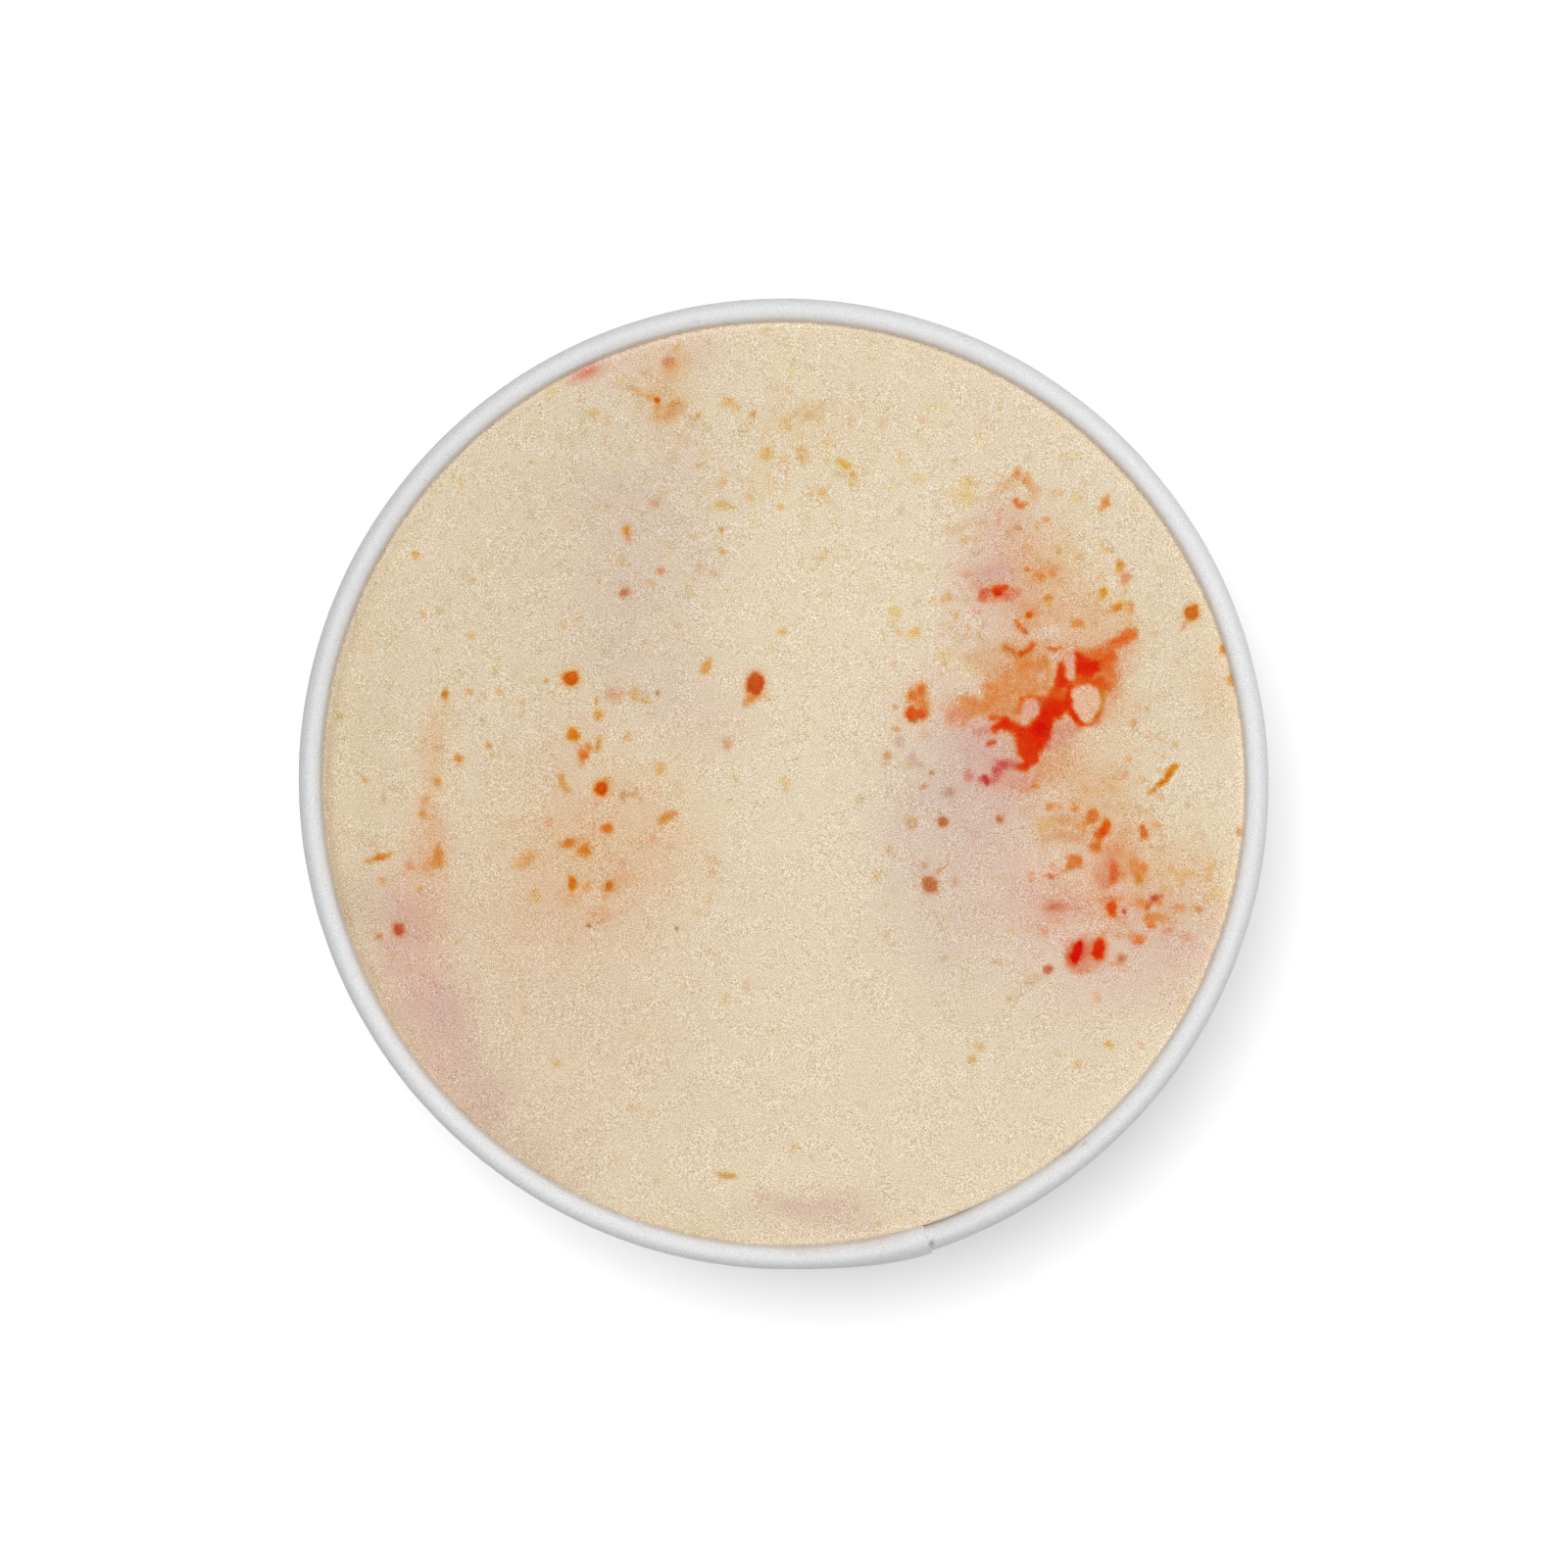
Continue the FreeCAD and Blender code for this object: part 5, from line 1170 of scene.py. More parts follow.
# ---- the raised floor ----------------------------------------------------------------
def make_floor_disc(material):
    t, tb = PAPER_T + GLUE_T, FLOOR_T
    top = FLOOR_Z + tb
    o_low, i_low = at_depth(t, SKIRT_END_Z), at_depth(t + tb, SKIRT_END_Z)
    o_bend = rounded(o_low, at_depth(t, top), (0.0, top), FLOOR_BEND_R, 6)
    i_bend = rounded((0.0, FLOOR_Z), at_depth(t + tb, FLOOR_Z), i_low, FLOOR_BEND_R - tb, 6)
    radii = (35.4, 34.6, 33.9, 33.0, 30.0, 26.0, 22.0, 18.0, 14.0, 10.0, 6.0, 3.0, 1.0)
    prof = between(o_low, o_bend[0], 3) + o_bend + [(q, top) for q in radii]
    low = [(q, FLOOR_Z) for q in radii[::-1]] + i_bend + between(i_bend[-1], i_low, 3)[1:] + [i_low]
    n = 240
    th = 2 * math.pi * np.arange(n) / n
    pts, faces = [], []
    outline = prof + low
    half = len(prof)
    for q, z in outline:
        sag = 0.0
        if z in (top, FLOOR_Z) and q < 35.5:                  # the disc's pressed rim and slight dish
            sag = -0.12 * smooth(33.0, 34.6, q) * (1 - smooth(34.6, 35.4, q)) + 0.10 * (1 - (q / 35.0) ** 2)
        zz = z + sag + (0.02 * noise(q * np.cos(th), q * np.sin(th), 11.0, 401) if q < 34.0 else 0.0 * th)
        pts.append(np.stack([q * np.cos(th), q * np.sin(th), zz + 0 * th], -1))
    pts = np.concatenate(pts)
    rows = len(outline)
    uv = []

    def place(row, k):
        q, z = outline[row]
        upper = row < half
        flat = q if row not in (0, 1, 2) and row < rows - 4 or q < 35.0 else q
        skirt = max(0.0, (6.4 if upper else FLOOR_Z) - z) if q > 34.5 else 0.0
        rad = (flat + skirt) / 44.0 * 0.235
        cx = 0.25 if upper else 0.75
        return (cx + rad * math.cos(th[k]), 0.5 + rad * math.sin(th[k]))

    for row in range(rows):
        nxt = (row + 1) % rows
        if row == half - 1:
            continue                                          # the two middles are closed apart
        for k in range(n):
            k2 = (k + 1) % n
            faces.append((row * n + k, row * n + k2, nxt * n + k2, nxt * n + k))
            if nxt == 0:                                      # the skirt's cut edge
                c0 = place(row, k)
                uv += [(0.5 + 0.49 * (k / n - 0.5) * 2, 0.02), (0.5 + 0.49 * ((k + 1) / n - 0.5) * 2, 0.02),
                       (0.5 + 0.49 * ((k + 1) / n - 0.5) * 2, 0.03), (0.5 + 0.49 * (k / n - 0.5) * 2, 0.03)]
            else:
                uv += [place(row, k), place(row, k2), place(nxt, k2), place(nxt, k)]
    for row, flip in ((half - 1, False), (half, True)):
        c = len(pts)
        pts = np.concatenate([pts, [[0, 0, outline[row][1] + 0.10]]])
        for k in range(n):
            k2 = (k + 1) % n
            tri = (row * n + k, row * n + k2, c)
            mid = (0.25 if row < half else 0.75, 0.5)
            if flip:
                faces.append(tri[::-1])
                uv += [mid, place(row, k2), place(row, k)]
            else:
                faces.append(tri)
                uv += [place(row, k), place(row, k2), mid]
    ob = mesh_piece("paper_floor", pts, faces, material, ("base_disc",))
    set_map(ob, uv)
    return ob


# ---- the ice cream -------------------------------------------------------------------
CONTACT_Z = FILL_Z - FILL_EDGE_DROP
EDGE_R = at_depth(PAPER_T - INTO_WALL, CONTACT_Z)[0]


def relief(x, y):
    """Height of the frozen top at x, y, in mm."""
    r = np.hypot(x, y)
    z = np.full(x.shape, FILL_Z)
    for amp, length, heading, phase in FILL_WAVES:
        h = math.radians(heading)
        z += amp * np.sin(2 * math.pi * (x * math.cos(h) + y * math.sin(h)) / length + phase)
    upper = smooth(-8.0, 20.0, y + 0.25 * x)                 # pitted above, smooth below
    lumps = 0.030 * noise(x, y, 6.5, 501) + 0.022 * rough(x, y, 3.0, 511, 2)
    z += lumps * (0.6 + 0.4 * upper)
    z += (0.008 + 0.026 * upper) * rough(x, y, 1.5, 521, 2, stretch=1.7, heading=64.0)
    z += (0.003 + 0.012 * upper) * noise(x, y, 0.85, 531, 1.5, 64.0)
    for cx, cy, w, h, angle, tint, strength, soft in FAINT:
        if cy + 0.25 * cx < 0 and tint not in ("olive", "tan"):
            continue
        reach = 1.6 * max(w, h)
        idx = np.nonzero((np.abs(x - cx) < reach) & (np.abs(y - cy) < reach))
        z[idx] -= 0.055 * (0.3 + strength * 2) * np.exp(-(oval_reach(x[idx], y[idx], cx, cy, w * 1.3, h * 1.3, angle)) ** 2)
    for cx, cy, w, h, angle, tint, strength, soft in BITS:
        size = min(w, h)
        if strength < 0.6 or size < 0.35:
            continue
        reach = 1.6 * max(w, h)
        idx = np.nonzero((np.abs(x - cx) < reach) & (np.abs(y - cy) < reach))
        z[idx] += 0.045 * min(size, 1.2) * np.exp(-(oval_reach(x[idx], y[idx], cx, cy, w, h, angle)) ** 4)
    edge = np.clip((r - (EDGE_R - FILL_EDGE_W)) / FILL_EDGE_W, 0.0, 1.0)
    th = np.arctan2(y, x)
    uneven = 1.0 + 0.16 * rough(th * EDGE_R, 0 * th + 5.5, 6.0, 541, 3)
    z -= FILL_EDGE_DROP * uneven * (0.30 * edge ** 2 + 0.70 * edge ** 5)
    # the contents touch the wall all round at about one level
    brim = 0.13 * np.exp(-((np.degrees(th) - 98.0) / 42.0) ** 2) + 0.07 * np.exp(-((np.degrees(th) - 4.0) / 22.0) ** 2)
    level = CONTACT_Z + brim + 0.06 * rough(th * EDGE_R, 0 * th + 1.5, 8.0, 545, 2)
    k = smooth(0.55, 1.0, edge)
    return z * (1 - k) + k * (level + (1 - edge) * 0.5)


def detail_gap(x, y):
    """Distance in mm to the nearest mark that needs a fine mesh, 0 inside it."""
    out = np.full(x.shape, 9.0)
    for pts, soft, tint, strength in SHEETS[2:] + ISLANDS:
        out = np.minimum(out, np.maximum(0.0, -outline_depth(x, y, pts) - soft))
    for pts, width, soft, tint, strength in THREADS:
        out = np.minimum(out, np.maximum(0.0, line_gap(x, y, pts) - 0.5 * width - soft))
    for cx, cy, w, h, angle, tint, strength, soft in BITS:
        if strength < 0.42:
            continue
        idx = np.nonzero((np.abs(x - cx) < 0.5 * w + 2) & (np.abs(y - cy) < 0.5 * max(w, h) + 2))
        d = (oval_reach(x[idx], y[idx], cx, cy, w, h, angle) - 1.0) * 0.5 * min(w, h) - soft
        out[idx] = np.minimum(out[idx], np.maximum(0.0, d))
    return out


def follow(pts):
    """Moves the fill's points with the wall round it."""
    r, th = np.hypot(pts[:, 0], pts[:, 1]), np.arctan2(pts[:, 1], pts[:, 0])
    wall_r = BASE_R + pts[:, 2] * TA
    grow = 1.0 + out_of_round(th, pts[:, 2]) * np.clip(r / wall_r, 0.0, 1.0) ** 6 / np.maximum(r, 1.0)
    pts[:, 0] *= grow
    pts[:, 1] *= grow


def make_ice_cream(material):
    rng = np.random.default_rng(77)
    coarse, ring_n = 0.62, 960
    n = int(2 * EDGE_R / coarse) + 2
    gx, gy = np.meshgrid((np.arange(n) - 0.5 * (n - 1)) * coarse, (np.arange(n) - 0.5 * (n - 1)) * coarse)
    cells = np.stack([gx.ravel(), gy.ravel()], -1)
    size = coarse
    points = []
    for level in range(3):
        gap = detail_gap(cells[:, 0], cells[:, 1])
        split = (level == 0) | ((level == 1) & (gap < 0.6 * size))
        split = np.broadcast_to(split, gap.shape)
        keep = cells[~split]
        points.append(keep + rng.uniform(-0.13, 0.13, keep.shape) * size)
        cells, size = cells[split], size * 0.5
        cells = np.concatenate([cells + 0.5 * size * np.array(d) for d in ((-1, -1), (-1, 1), (1, -1), (1, 1))])
        if level == 2:
            break
    top = np.concatenate(points)
    r = np.hypot(top[:, 0], top[:, 1])
    top = top[r < EDGE_R - 0.20]
    th = 2 * math.pi * np.arange(ring_n) / ring_n
    rim = EDGE_R * np.stack([np.cos(th), np.sin(th)], -1)
    flat = np.concatenate([rim, top])
    made = delaunay_2d_cdt([Vector(p) for p in flat], [], [], 0, 1e-7)
    flat = np.array([tuple(v) for v in made[0]])
    tris = [f for f in made[2]]
    order = {}
    for k, src in enumerate(made[3]):
        for s in src:
            order[s] = k
    rim_ids = [order[k] for k in range(ring_n)]
    z = relief(flat[:, 0], flat[:, 1])
    # the rim follows the wall's slope at its own height
    scale = np.ones(len(flat))
    scale[rim_ids] = (BASE_R + z[rim_ids] * TA - (PAPER_T - INTO_WALL) / CA) / EDGE_R
    pts = np.stack([flat[:, 0] * scale, flat[:, 1] * scale, z], -1)
    follow(pts)
    top_count = len(pts)
    faces = []
    for f in tris:
        a, b, c = (pts[i] for i in f)
        turn = (b[0] - a[0]) * (c[1] - a[1]) - (b[1] - a[1]) * (c[0] - a[0])
        if abs(turn) < 1e-5:
            continue
        faces.append(tuple(f) if turn > 0 else tuple(f[::-1]))
    top_faces = len(faces)

    # side and underside, which the paper hides
    low_n, floor_z = ring_n // 4, FLOOR_Z + FLOOR_T - 0.02
    rows = []
    ang = 2 * math.pi * np.arange(low_n) / low_n
    for zz in (40.0, 22.0, floor_z):
        rr = at_depth(PAPER_T - INTO_WALL, zz)[0]
        rows.append(len(pts))
        ring = np.stack([rr * np.cos(ang), rr * np.sin(ang), 0 * ang + zz], -1)
        follow(ring)
        pts = np.concatenate([pts, ring])
    a = rows[0]
    for k in range(low_n):
        k2 = (k + 1) % low_n
        u = [rim_ids[(4 * k + m) % ring_n] for m in range(5)]
        lo0, lo1 = a + k, a + k2
        faces += [(u[1], u[0], lo0), (u[2], u[1], lo0), (u[2], lo0, lo1), (u[3], u[2], lo1), (u[4], u[3], lo1)]
    for upper_row, lower_row in zip(rows[:-1], rows[1:]):
        for k in range(low_n):
            k2 = (k + 1) % low_n
            faces.append((upper_row + k2, upper_row + k, lower_row + k, lower_row + k2))
    prev, prev_n, rad = rows[-1], low_n, at_depth(PAPER_T - INTO_WALL, floor_z)[0]
    while prev_n > 15:
        nn, rad = prev_n // 2, rad * 0.68
        here = len(pts)
        aa = 2 * math.pi * np.arange(nn) / nn
        pts = np.concatenate([pts, np.stack([rad * np.cos(aa), rad * np.sin(aa), 0 * aa + floor_z], -1)])
        for k in range(nn):
            k2 = (k + 1) % nn
            u = [prev + (2 * k + m) % prev_n for m in range(3)]
            faces += [(u[1], u[0], here + k), (u[1], here + k, here + k2), (u[2], u[1], here + k2)]
        prev, prev_n = here, nn
    faces.append(tuple(prev + k for k in range(prev_n))[::-1])
    ob = mesh_piece("ice_cream_fill", pts, faces, material, ("ice_cream",))

    colours = np.empty((len(pts), 3))
    colours[:top_count] = cream_colour(pts[:top_count, 0], pts[:top_count, 1])
    colours[top_count:] = TINTS["cream"]
    # paler hoar along the wall, where the cream meets the paper without a gap
    # painted light on the cream's edge along the wall, most at the right and top, with a touch of painted shade on the
    # left; then painted shade in a grey band at the contact line
    x, y = pts[:top_count, 0], pts[:top_count, 1]
    painted_wall_light = np.interp(np.degrees(np.arctan2(y, x)) % 360.0, (0, 45, 90, 135, 180, 225, 315, 360), (0.23, 0.12, 0.24, 0.06, -0.04, 0.0, 0.0, 0.23))
    colours[:top_count] *= (1 + painted_wall_light * np.exp(-((np.hypot(x, y) - 45.52) / 0.30) ** 2))[:, None]
    # painted shade: a grey band on the cream's edge at the contact line with the wall
    painted_contact_shade = 0.34 * smooth(45.34, 45.78, np.hypot(x, y)) * (0.8 + 0.4 * noise(x, y, 1.3, 611))
    colours[:top_count] += painted_contact_shade[:, None] * (rgb(208, 202, 204) - colours[:top_count])
    np.minimum(colours, 0.93, out=colours)
    set_colours(ob, "Col", colours)
    set_values(ob, "Frost", frost(pts[:, 0], pts[:, 1]))

    idx = corner_points(ob)
    r = np.hypot(pts[:, 0], pts[:, 1])
    ang = np.arctan2(pts[:, 1], pts[:, 0])
    uv_top = 0.5 + 0.488 * pts[:, :2] / (EDGE_R + 0.3)
    under = pts[:, 2] <= floor_z + 1e-6
    rad = np.where(under, 0.045 * r / 38.5, 0.048 + 0.034 * (pts[:, 2] - floor_z) / (CONTACT_Z - floor_z))
    uv_low = 0.91 + np.stack([rad * np.cos(ang), rad * np.sin(ang)], -1)
    corner_count = np.zeros(len(ob.data.polygons), np.int32)
    ob.data.polygons.foreach_get("loop_total", corner_count)
    face_of = np.repeat(np.arange(len(corner_count)), corner_count)
    set_map(ob, np.where((face_of < top_faces)[:, None], uv_top[idx], uv_low[idx]))
    return ob


def frost(x, y):
    """Where frost shows as fine bright lines."""
    f = np.exp(-oval_reach(x, y, -24.0, -24.5, 24.0, 27.0, 0) ** 2) + 0.8 * np.exp(-oval_reach(x, y, 28.0, -12.5, 16.0, 13.0, 0) ** 2)
    f += 0.45 * np.exp(-oval_reach(x, y, -33.0, 8.0, 18.0, 50.0, 0) ** 2) + 0.3 * np.exp(-oval_reach(x, y, 12.0, 18.0, 40.0, 30.0, 0) ** 2)
    return np.clip(f, 0, 1)


# ---- fruit that lies in the top, one piece for each kind --------------------------------
def lens_patch(cx, cy, w, h, angle, proud, seed, step=0.10):
    """A low pebble bedded in the top: its uneven edge is sunk, its middle stands proud."""
    rings = max(3, int(0.5 * min(w, h) / step))
    around = max(12, int(math.pi * 0.5 * (w + h) / (step * 1.5)))
    c, s = math.cos(math.radians(angle)), math.sin(math.radians(angle))
    th = 2 * math.pi * np.arange(around) / around
    lobes = 1.0 + 0.11 * noise(2.0 * np.cos(th) + seed, 2.0 * np.sin(th), 1.3, 601) + 0.05 * noise(3.0 * np.cos(th), 3.0 * np.sin(th) + seed, 0.7, 603)
    flat, lift = [np.array([[cx, cy]])], [np.array([1.0])]
    for k in range(1, rings + 1):
        q = k / rings
        u, v = 0.5 * w * q * lobes * np.cos(th), 0.5 * h * q * lobes * np.sin(th)
        flat.append(np.stack([cx + u * c - v * s, cy + u * s + v * c], -1))
        lift.append(np.full(around, 1.0 - q ** 3))
    flat, lift = np.concatenate(flat), np.concatenate(lift)
    z = relief(flat[:, 0], flat[:, 1]) + proud * lift - 0.05 * (1 - lift)
    z += 0.25 * proud * lift * noise(flat[:, 0], flat[:, 1], 0.45, 607 + int(seed) % 50)
    faces = [(0, 1 + k, 1 + (k + 1) % around) for k in range(around)]
    for ring in range(rings - 1):
        a, b = 1 + ring * around, 1 + (ring + 1) * around
        faces += [(a + k, b + k, b + (k + 1) % around, a + (k + 1) % around) for k in range(around)]
    # closed underneath
    base = len(flat)
    edge = flat[-around:]
    low = np.concatenate([edge * 1.0, [[cx, cy]]])
    zl = np.concatenate([relief(edge[:, 0], edge[:, 1]) - 0.16, [z[0] - 0.35]])
    a = 1 + (rings - 1) * around
    faces += [(a + k, base + k, base + (k + 1) % around, a + (k + 1) % around) for k in range(around)]
    faces += [(base + (k + 1) % around, base + k, base + around) for k in range(around)]
    pts = np.concatenate([np.column_stack([flat, z]), np.column_stack([low, zl])])
    return pts, faces


def gather(name, patches, material):
    pts, faces = [], []
    count = 0
    for p, f in patches:
        pts.append(p)
        faces += [tuple(i + count for i in face) for face in f]
        count += len(p)
    pts = np.concatenate(pts)
    ob = mesh_piece(name, pts, faces, material)
    set_colours(ob, "Col", cream_colour(pts[:, 0], pts[:, 1]))
    set_values(ob, "Frost", 0.5 * frost(pts[:, 0], pts[:, 1]))
    return ob


def make_fruit(material):
    bits, seeds, shreds = [], [], []
    for k, (cx, cy, w, h, angle, tint, strength, soft) in enumerate(BITS):
        size, length = min(w, h), max(w, h)
        if strength < 0.7 or soft > 0.24:
            continue
        if length > 2.2 * size and size < 0.75:
            shreds.append(lens_patch(cx, cy, w * 0.96, h * 0.9, angle, 0.07, 3.7 * k, 0.08))
        elif size < 0.48:
            seeds.append(lens_patch(cx, cy, w, h, angle, 0.05, 3.7 * k, 0.07))
        elif size < 2.3:
            bits.append(lens_patch(cx, cy, w * 0.92, h * 0.92, angle, 0.05 + 0.035 * size, 3.7 * k, 0.10))
    gather("fruit_bits", bits, material)
    gather("fruit_seeds", seeds, material)
    gather("peel_shreds", shreds, material)
    print("bits", len(bits), "seeds", len(seeds), "shreds", len(shreds))


# ---- materials -----------------------------------------------------------------------
class Nodes:
    """Short hand for a material's node tree."""

    def __init__(self, name):
        self.material = bpy.data.materials.new(name)
        self.material.use_nodes = True
        self.tree = self.material.node_tree
        self.shader = self.tree.nodes["Principled BSDF"] if "Principled BSDF" in self.tree.nodes else self.tree.nodes.new("ShaderNodeBsdfPrincipled")
        self.at = self.new("ShaderNodeTexCoord").outputs["Object"]

    def new(self, kind, **settings):
        node = self.tree.nodes.new(kind)
        for k, v in settings.items():
            setattr(node, k, v)
        return node

    def link(self, a, b):
        self.tree.links.new(a, b)

    def put(self, socket, value):
        if isinstance(value, bpy.types.NodeSocket):
            self.link(value, socket)
        else:
            socket.default_value = value

    def noise(self, size_mm, detail=2.0, rough=0.5, offset=(0.0, 0.0, 0.0), stretch=(1.0, 1.0, 1.0)):
        mapping = self.new("ShaderNodeMapping")
        self.link(self.at, mapping.inputs["Vector"])
        mapping.inputs["Location"].default_value = offset
        mapping.inputs["Scale"].default_value = tuple(1.0 / (size_mm * MM * s) for s in stretch)
        tex = self.new("ShaderNodeTexNoise")
        self.link(mapping.outputs["Vector"], tex.inputs["Vector"])
        tex.inputs["Scale"].default_value = 1.0
        tex.inputs["Detail"].default_value = detail
        tex.inputs["Roughness"].default_value = rough
        return tex.outputs["Fac"]

    def math(self, kind, a, b=0.0, c=0.0, clamp=False):
        node = self.new("ShaderNodeMath", operation=kind, use_clamp=clamp)
        self.put(node.inputs[0], a)
        self.put(node.inputs[1], b)
        self.put(node.inputs[2], c)
        return node.outputs[0]

    def vector(self, kind, a, b=(0.0, 0.0, 0.0), c=(0.0, 0.0, 0.0)):
        node = self.new("ShaderNodeVectorMath", operation=kind)
        self.put(node.inputs[0], a)
        self.put(node.inputs[1], b)
        if kind == "MULTIPLY_ADD":
            self.put(node.inputs[2], c)
        return node.outputs[0]

    def spread(self, fac, amounts):
        """A factor round 0.5 turned to a colour round 1."""
        return self.vector("MULTIPLY_ADD", fac, amounts, tuple(1.0 - 0.5 * a for a in amounts))

    def attribute(self, name, which="Color"):
        return self.new("ShaderNodeAttribute", attribute_name=name).outputs[which]

    def bump(self, height, strength, distance_mm, normal=None):
        node = self.new("ShaderNodeBump")
        node.inputs["Strength"].default_value = strength
        node.inputs["Distance"].default_value = distance_mm * MM
        self.link(height, node.inputs["Height"])
        if normal is not None:
            self.link(normal, node.inputs["Normal"])
        return node.outputs["Normal"]


def ice_cream_material():
    n = Nodes("frozen_cream")
    fine = n.noise(0.100, 1.0, 0.55)
    soft = n.noise(0.30, 2.0, 0.5, (3.1, 0.7, 1.9))
    broad = n.noise(1.5, 2.0, 0.5, (7.1, 2.7, 0.9))
    colour = n.vector("MULTIPLY", n.attribute("Col"), n.spread(fine, (1.36, 2.16, 3.05)))
    colour = n.vector("MULTIPLY", colour, n.spread(soft, (0.16, 0.26, 0.36)))
    colour = n.vector("MULTIPLY", colour, n.spread(broad, (0.05, 0.07, 0.10)))
    colour = n.vector("MULTIPLY", colour, (0.990, 0.988, 0.968))
    # frost lines: fine bright lines where the frost is thick
    line = n.noise(0.55, 2.0, 0.6, (11.0, 4.0, 2.0))
    line = n.math("ABSOLUTE", n.math("SUBTRACT", line, 0.5))
    line = n.math("SUBTRACT", 1.0, n.math("MULTIPLY", line, 14.0), clamp=True)
    line = n.math("MULTIPLY", line, n.attribute("Frost", "Fac"))
    line = n.math("MULTIPLY", line, 0.10)
    # and single bright ice crystals, painted as glints
    crystal_glint = n.math("MULTIPLY", n.math("SUBTRACT", n.noise(0.12, 0.0, 0.5, (5.0, 8.0, 3.0)), 0.62), 5.0, clamp=True)
    crystal_glint = n.math("MULTIPLY", crystal_glint, n.math("MULTIPLY_ADD", n.attribute("Frost", "Fac"), 0.22, 0.06))
    line = n.math("ADD", line, crystal_glint)
    parts = n.new("ShaderNodeSeparateXYZ")
    n.link(n.attribute("Col"), parts.inputs[0])
    line = n.math("MULTIPLY", line, n.math("MULTIPLY_ADD", parts.outputs["Y"], 1.45, 0.04))
    glow = n.new("ShaderNodeCombineXYZ")
    for k, gain in enumerate((1.0, 1.0, 1.0)):
        n.put(glow.inputs[k], line)
    colour = n.vector("ADD", colour, glow.outputs[0])
    colour = n.vector("MINIMUM", n.vector("MAXIMUM", colour, (0.0, 0.0, 0.0)), (0.96, 0.96, 0.96))
    n.link(colour, n.shader.inputs["Base Color"])
    n.put(n.shader.inputs["Roughness"], n.math("MULTIPLY_ADD", soft, 0.30, 0.46))
    n.shader.inputs["Specular IOR Level"].default_value = 0.02
    normal = n.bump(fine, 0.40, 0.012)
    normal = n.bump(soft, 0.50, 0.045, normal)
    n.link(normal, n.shader.inputs["Normal"])
    return n.material


def paper_material(name, tinted):
    n = Nodes(name)
    fibre = n.noise(0.11, 1.0, 0.6)
    felt = n.noise(0.9, 3.0, 0.6, (2.0, 5.0, 1.0), (1.0, 1.0, 1.6))
    cloud = n.noise(6.0, 3.0, 0.5, (1.0, 2.0, 3.0))
    colour = n.vector("MULTIPLY", n.spread(fibre, (0.80, 0.80, 0.80)), n.spread(felt, (0.07, 0.07, 0.07)))
    colour = n.vector("MULTIPLY", colour, n.spread(cloud, (0.03, 0.03, 0.04)))
    colour = n.vector("MULTIPLY", colour, (0.770, 0.768, 0.774))
    if tinted:
        # the Tint attribute holds cream stains and painted light and shade on the roll
        colour = n.vector("MULTIPLY", colour, n.attribute("Tint"))
    colour = n.vector("MINIMUM", n.vector("MAXIMUM", colour, (0.0, 0.0, 0.0)), (0.96, 0.96, 0.96))
    n.link(colour, n.shader.inputs["Base Color"])
    n.put(n.shader.inputs["Roughness"], n.math("MULTIPLY_ADD", felt, 0.24, 0.42))
    n.shader.inputs["Specular IOR Level"].default_value = 0.30
    normal = n.bump(fibre, 0.35, 0.015)
    normal = n.bump(felt, 0.40, 0.030, normal)
    n.link(normal, n.shader.inputs["Normal"])
    return n.material


def table_material():
    n = Nodes("pale_table")
    colour = n.spread(n.noise(40.0, 3.0, 0.5), (0.01, 0.01, 0.01))
    colour = n.vector("MULTIPLY", colour, (0.824, 0.824, 0.819))
    n.link(colour, n.shader.inputs["Base Color"])
    n.shader.inputs["Roughness"].default_value = 1.0
    n.shader.inputs["Specular IOR Level"].default_value = 0.0
    return n.material


wall = make_wall(paper_material("white_board", True))
floor_disc = make_floor_disc(paper_material("white_board_floor", False))
cream_mat = ice_cream_material()
ice = make_ice_cream(cream_mat)
make_fruit(cream_mat)

# ---- table, light and camera ---------------------------------------------------------
side = 6.0
table_mesh = bpy.data.meshes.new("table")
cuts = 12
grid = [(side * (i / cuts - 0.5), side * (j / cuts - 0.5), -0.00002) for j in range(cuts + 1) for i in range(cuts + 1)]
table_mesh.from_pydata(grid, [], [(j * (cuts + 1) + i, j * (cuts + 1) + i + 1, (j + 1) * (cuts + 1) + i + 1, (j + 1) * (cuts + 1) + i) for j in range(cuts) for i in range(cuts)])
table_mesh.update()
table_mesh.materials.append(table_material())
table = bpy.data.objects.new("table", table_mesh)
bpy.context.scene.collection.objects.link(table)
table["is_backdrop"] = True

scene = bpy.context.scene
scene.view_settings.view_transform = "Standard"
scene.view_settings.look = "None"
scene.view_settings.exposure = 0.0
scene.view_settings.gamma = 1.0

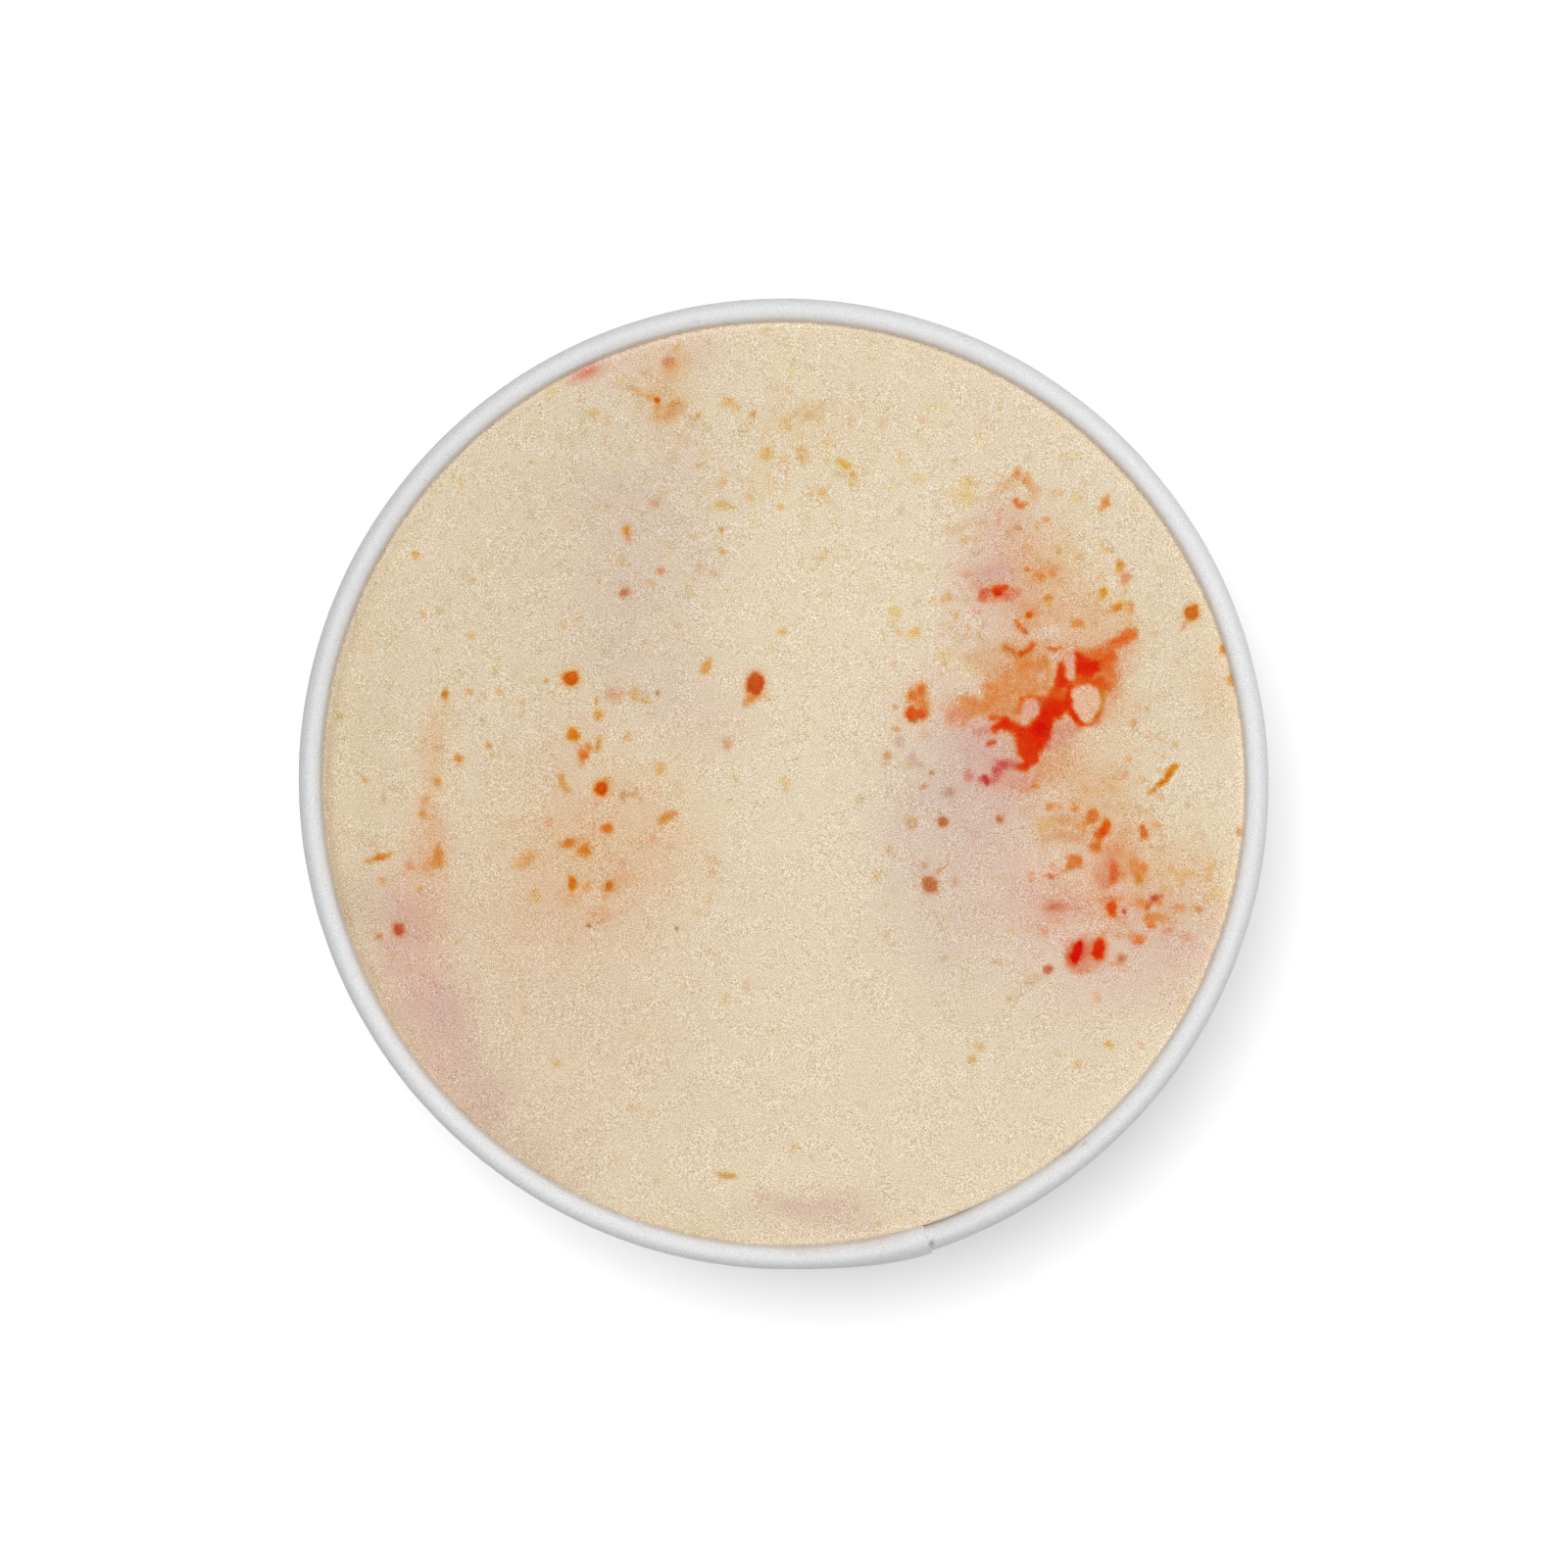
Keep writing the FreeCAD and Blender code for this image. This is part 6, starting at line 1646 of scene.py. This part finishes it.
world = bpy.data.worlds.new("studio")
scene.world = world
world.use_nodes = True
wt = world.node_tree
back = wt.nodes["Background"] if "Background" in wt.nodes else wt.nodes.new("ShaderNodeBackground")
SKY = 0.60
back.inputs["Color"].default_value = (1.0, 1.0, 1.0, 1.0)
sky_at = wt.nodes.new("ShaderNodeTexCoord")
sky_z = wt.nodes.new("ShaderNodeSeparateXYZ")
sky = wt.nodes.new("ShaderNodeMapRange")
sky.interpolation_type = "SMOOTHSTEP"
wt.links.new(sky_at.outputs["Generated"], sky_z.inputs[0])
wt.links.new(sky_z.outputs["Z"], sky.inputs["Value"])
sky.inputs["From Min"].default_value, sky.inputs["From Max"].default_value = 0.0, 1.0
sky.inputs["To Min"].default_value, sky.inputs["To Max"].default_value = 0.10, 0.50
wt.links.new(sky.outputs["Result"], back.inputs["Strength"])


def sun(name, azimuth, elevation, strength, spread_deg, receivers):
    """A broad lamp far away: azimuth counter-clockwise from +X, towards the lamp."""
    data = bpy.data.lights.new(name, "SUN")
    data.energy = strength
    data.angle = math.radians(spread_deg)
    ob = bpy.data.objects.new(name, data)
    a, e = math.radians(azimuth), math.radians(elevation)
    towards = Vector((math.cos(a) * math.cos(e), math.sin(a) * math.cos(e), math.sin(e)))
    ob.rotation_mode = "QUATERNION"
    ob.rotation_quaternion = towards.to_track_quat("Z", "Y")
    scene.collection.objects.link(ob)
    group = bpy.data.collections.new(name + "_lit")
    for r in receivers:
        group.objects.link(r)
    ob.light_linking.receiver_collection = group
    return ob


cup_pieces = [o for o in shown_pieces()]


def level_light(share, elevation):
    """Lamp strength that gives a level face this share of full light."""
    return share * math.pi / math.sin(math.radians(elevation))


sun("key", 70.0, 79.0, level_light(0.63, 79.0), 45.0, cup_pieces)
sun("table_light", 124.0, 83.5, level_light(0.95, 83.5), 20.0, [table])
sun("table_fill", -56.0, 55.0, level_light(0.05, 55.0), 50.0, [table])

CAM_ABOVE = 0.700
RIM_Z = (HEIGHT - 1.1) * MM
camera_data = bpy.data.cameras.new("camera")
camera_data.sensor_width = 36.0
camera_data.lens = 36.0 * CAM_ABOVE / (1600 * 0.00009683)
camera_data.clip_start, camera_data.clip_end = 0.01, 20.0
camera = bpy.data.objects.new("camera", camera_data)
camera.location = (-0.000003, -0.000049, RIM_Z + CAM_ABOVE)
scene.collection.objects.link(camera)
scene.camera = camera

bpy.context.view_layer.update()
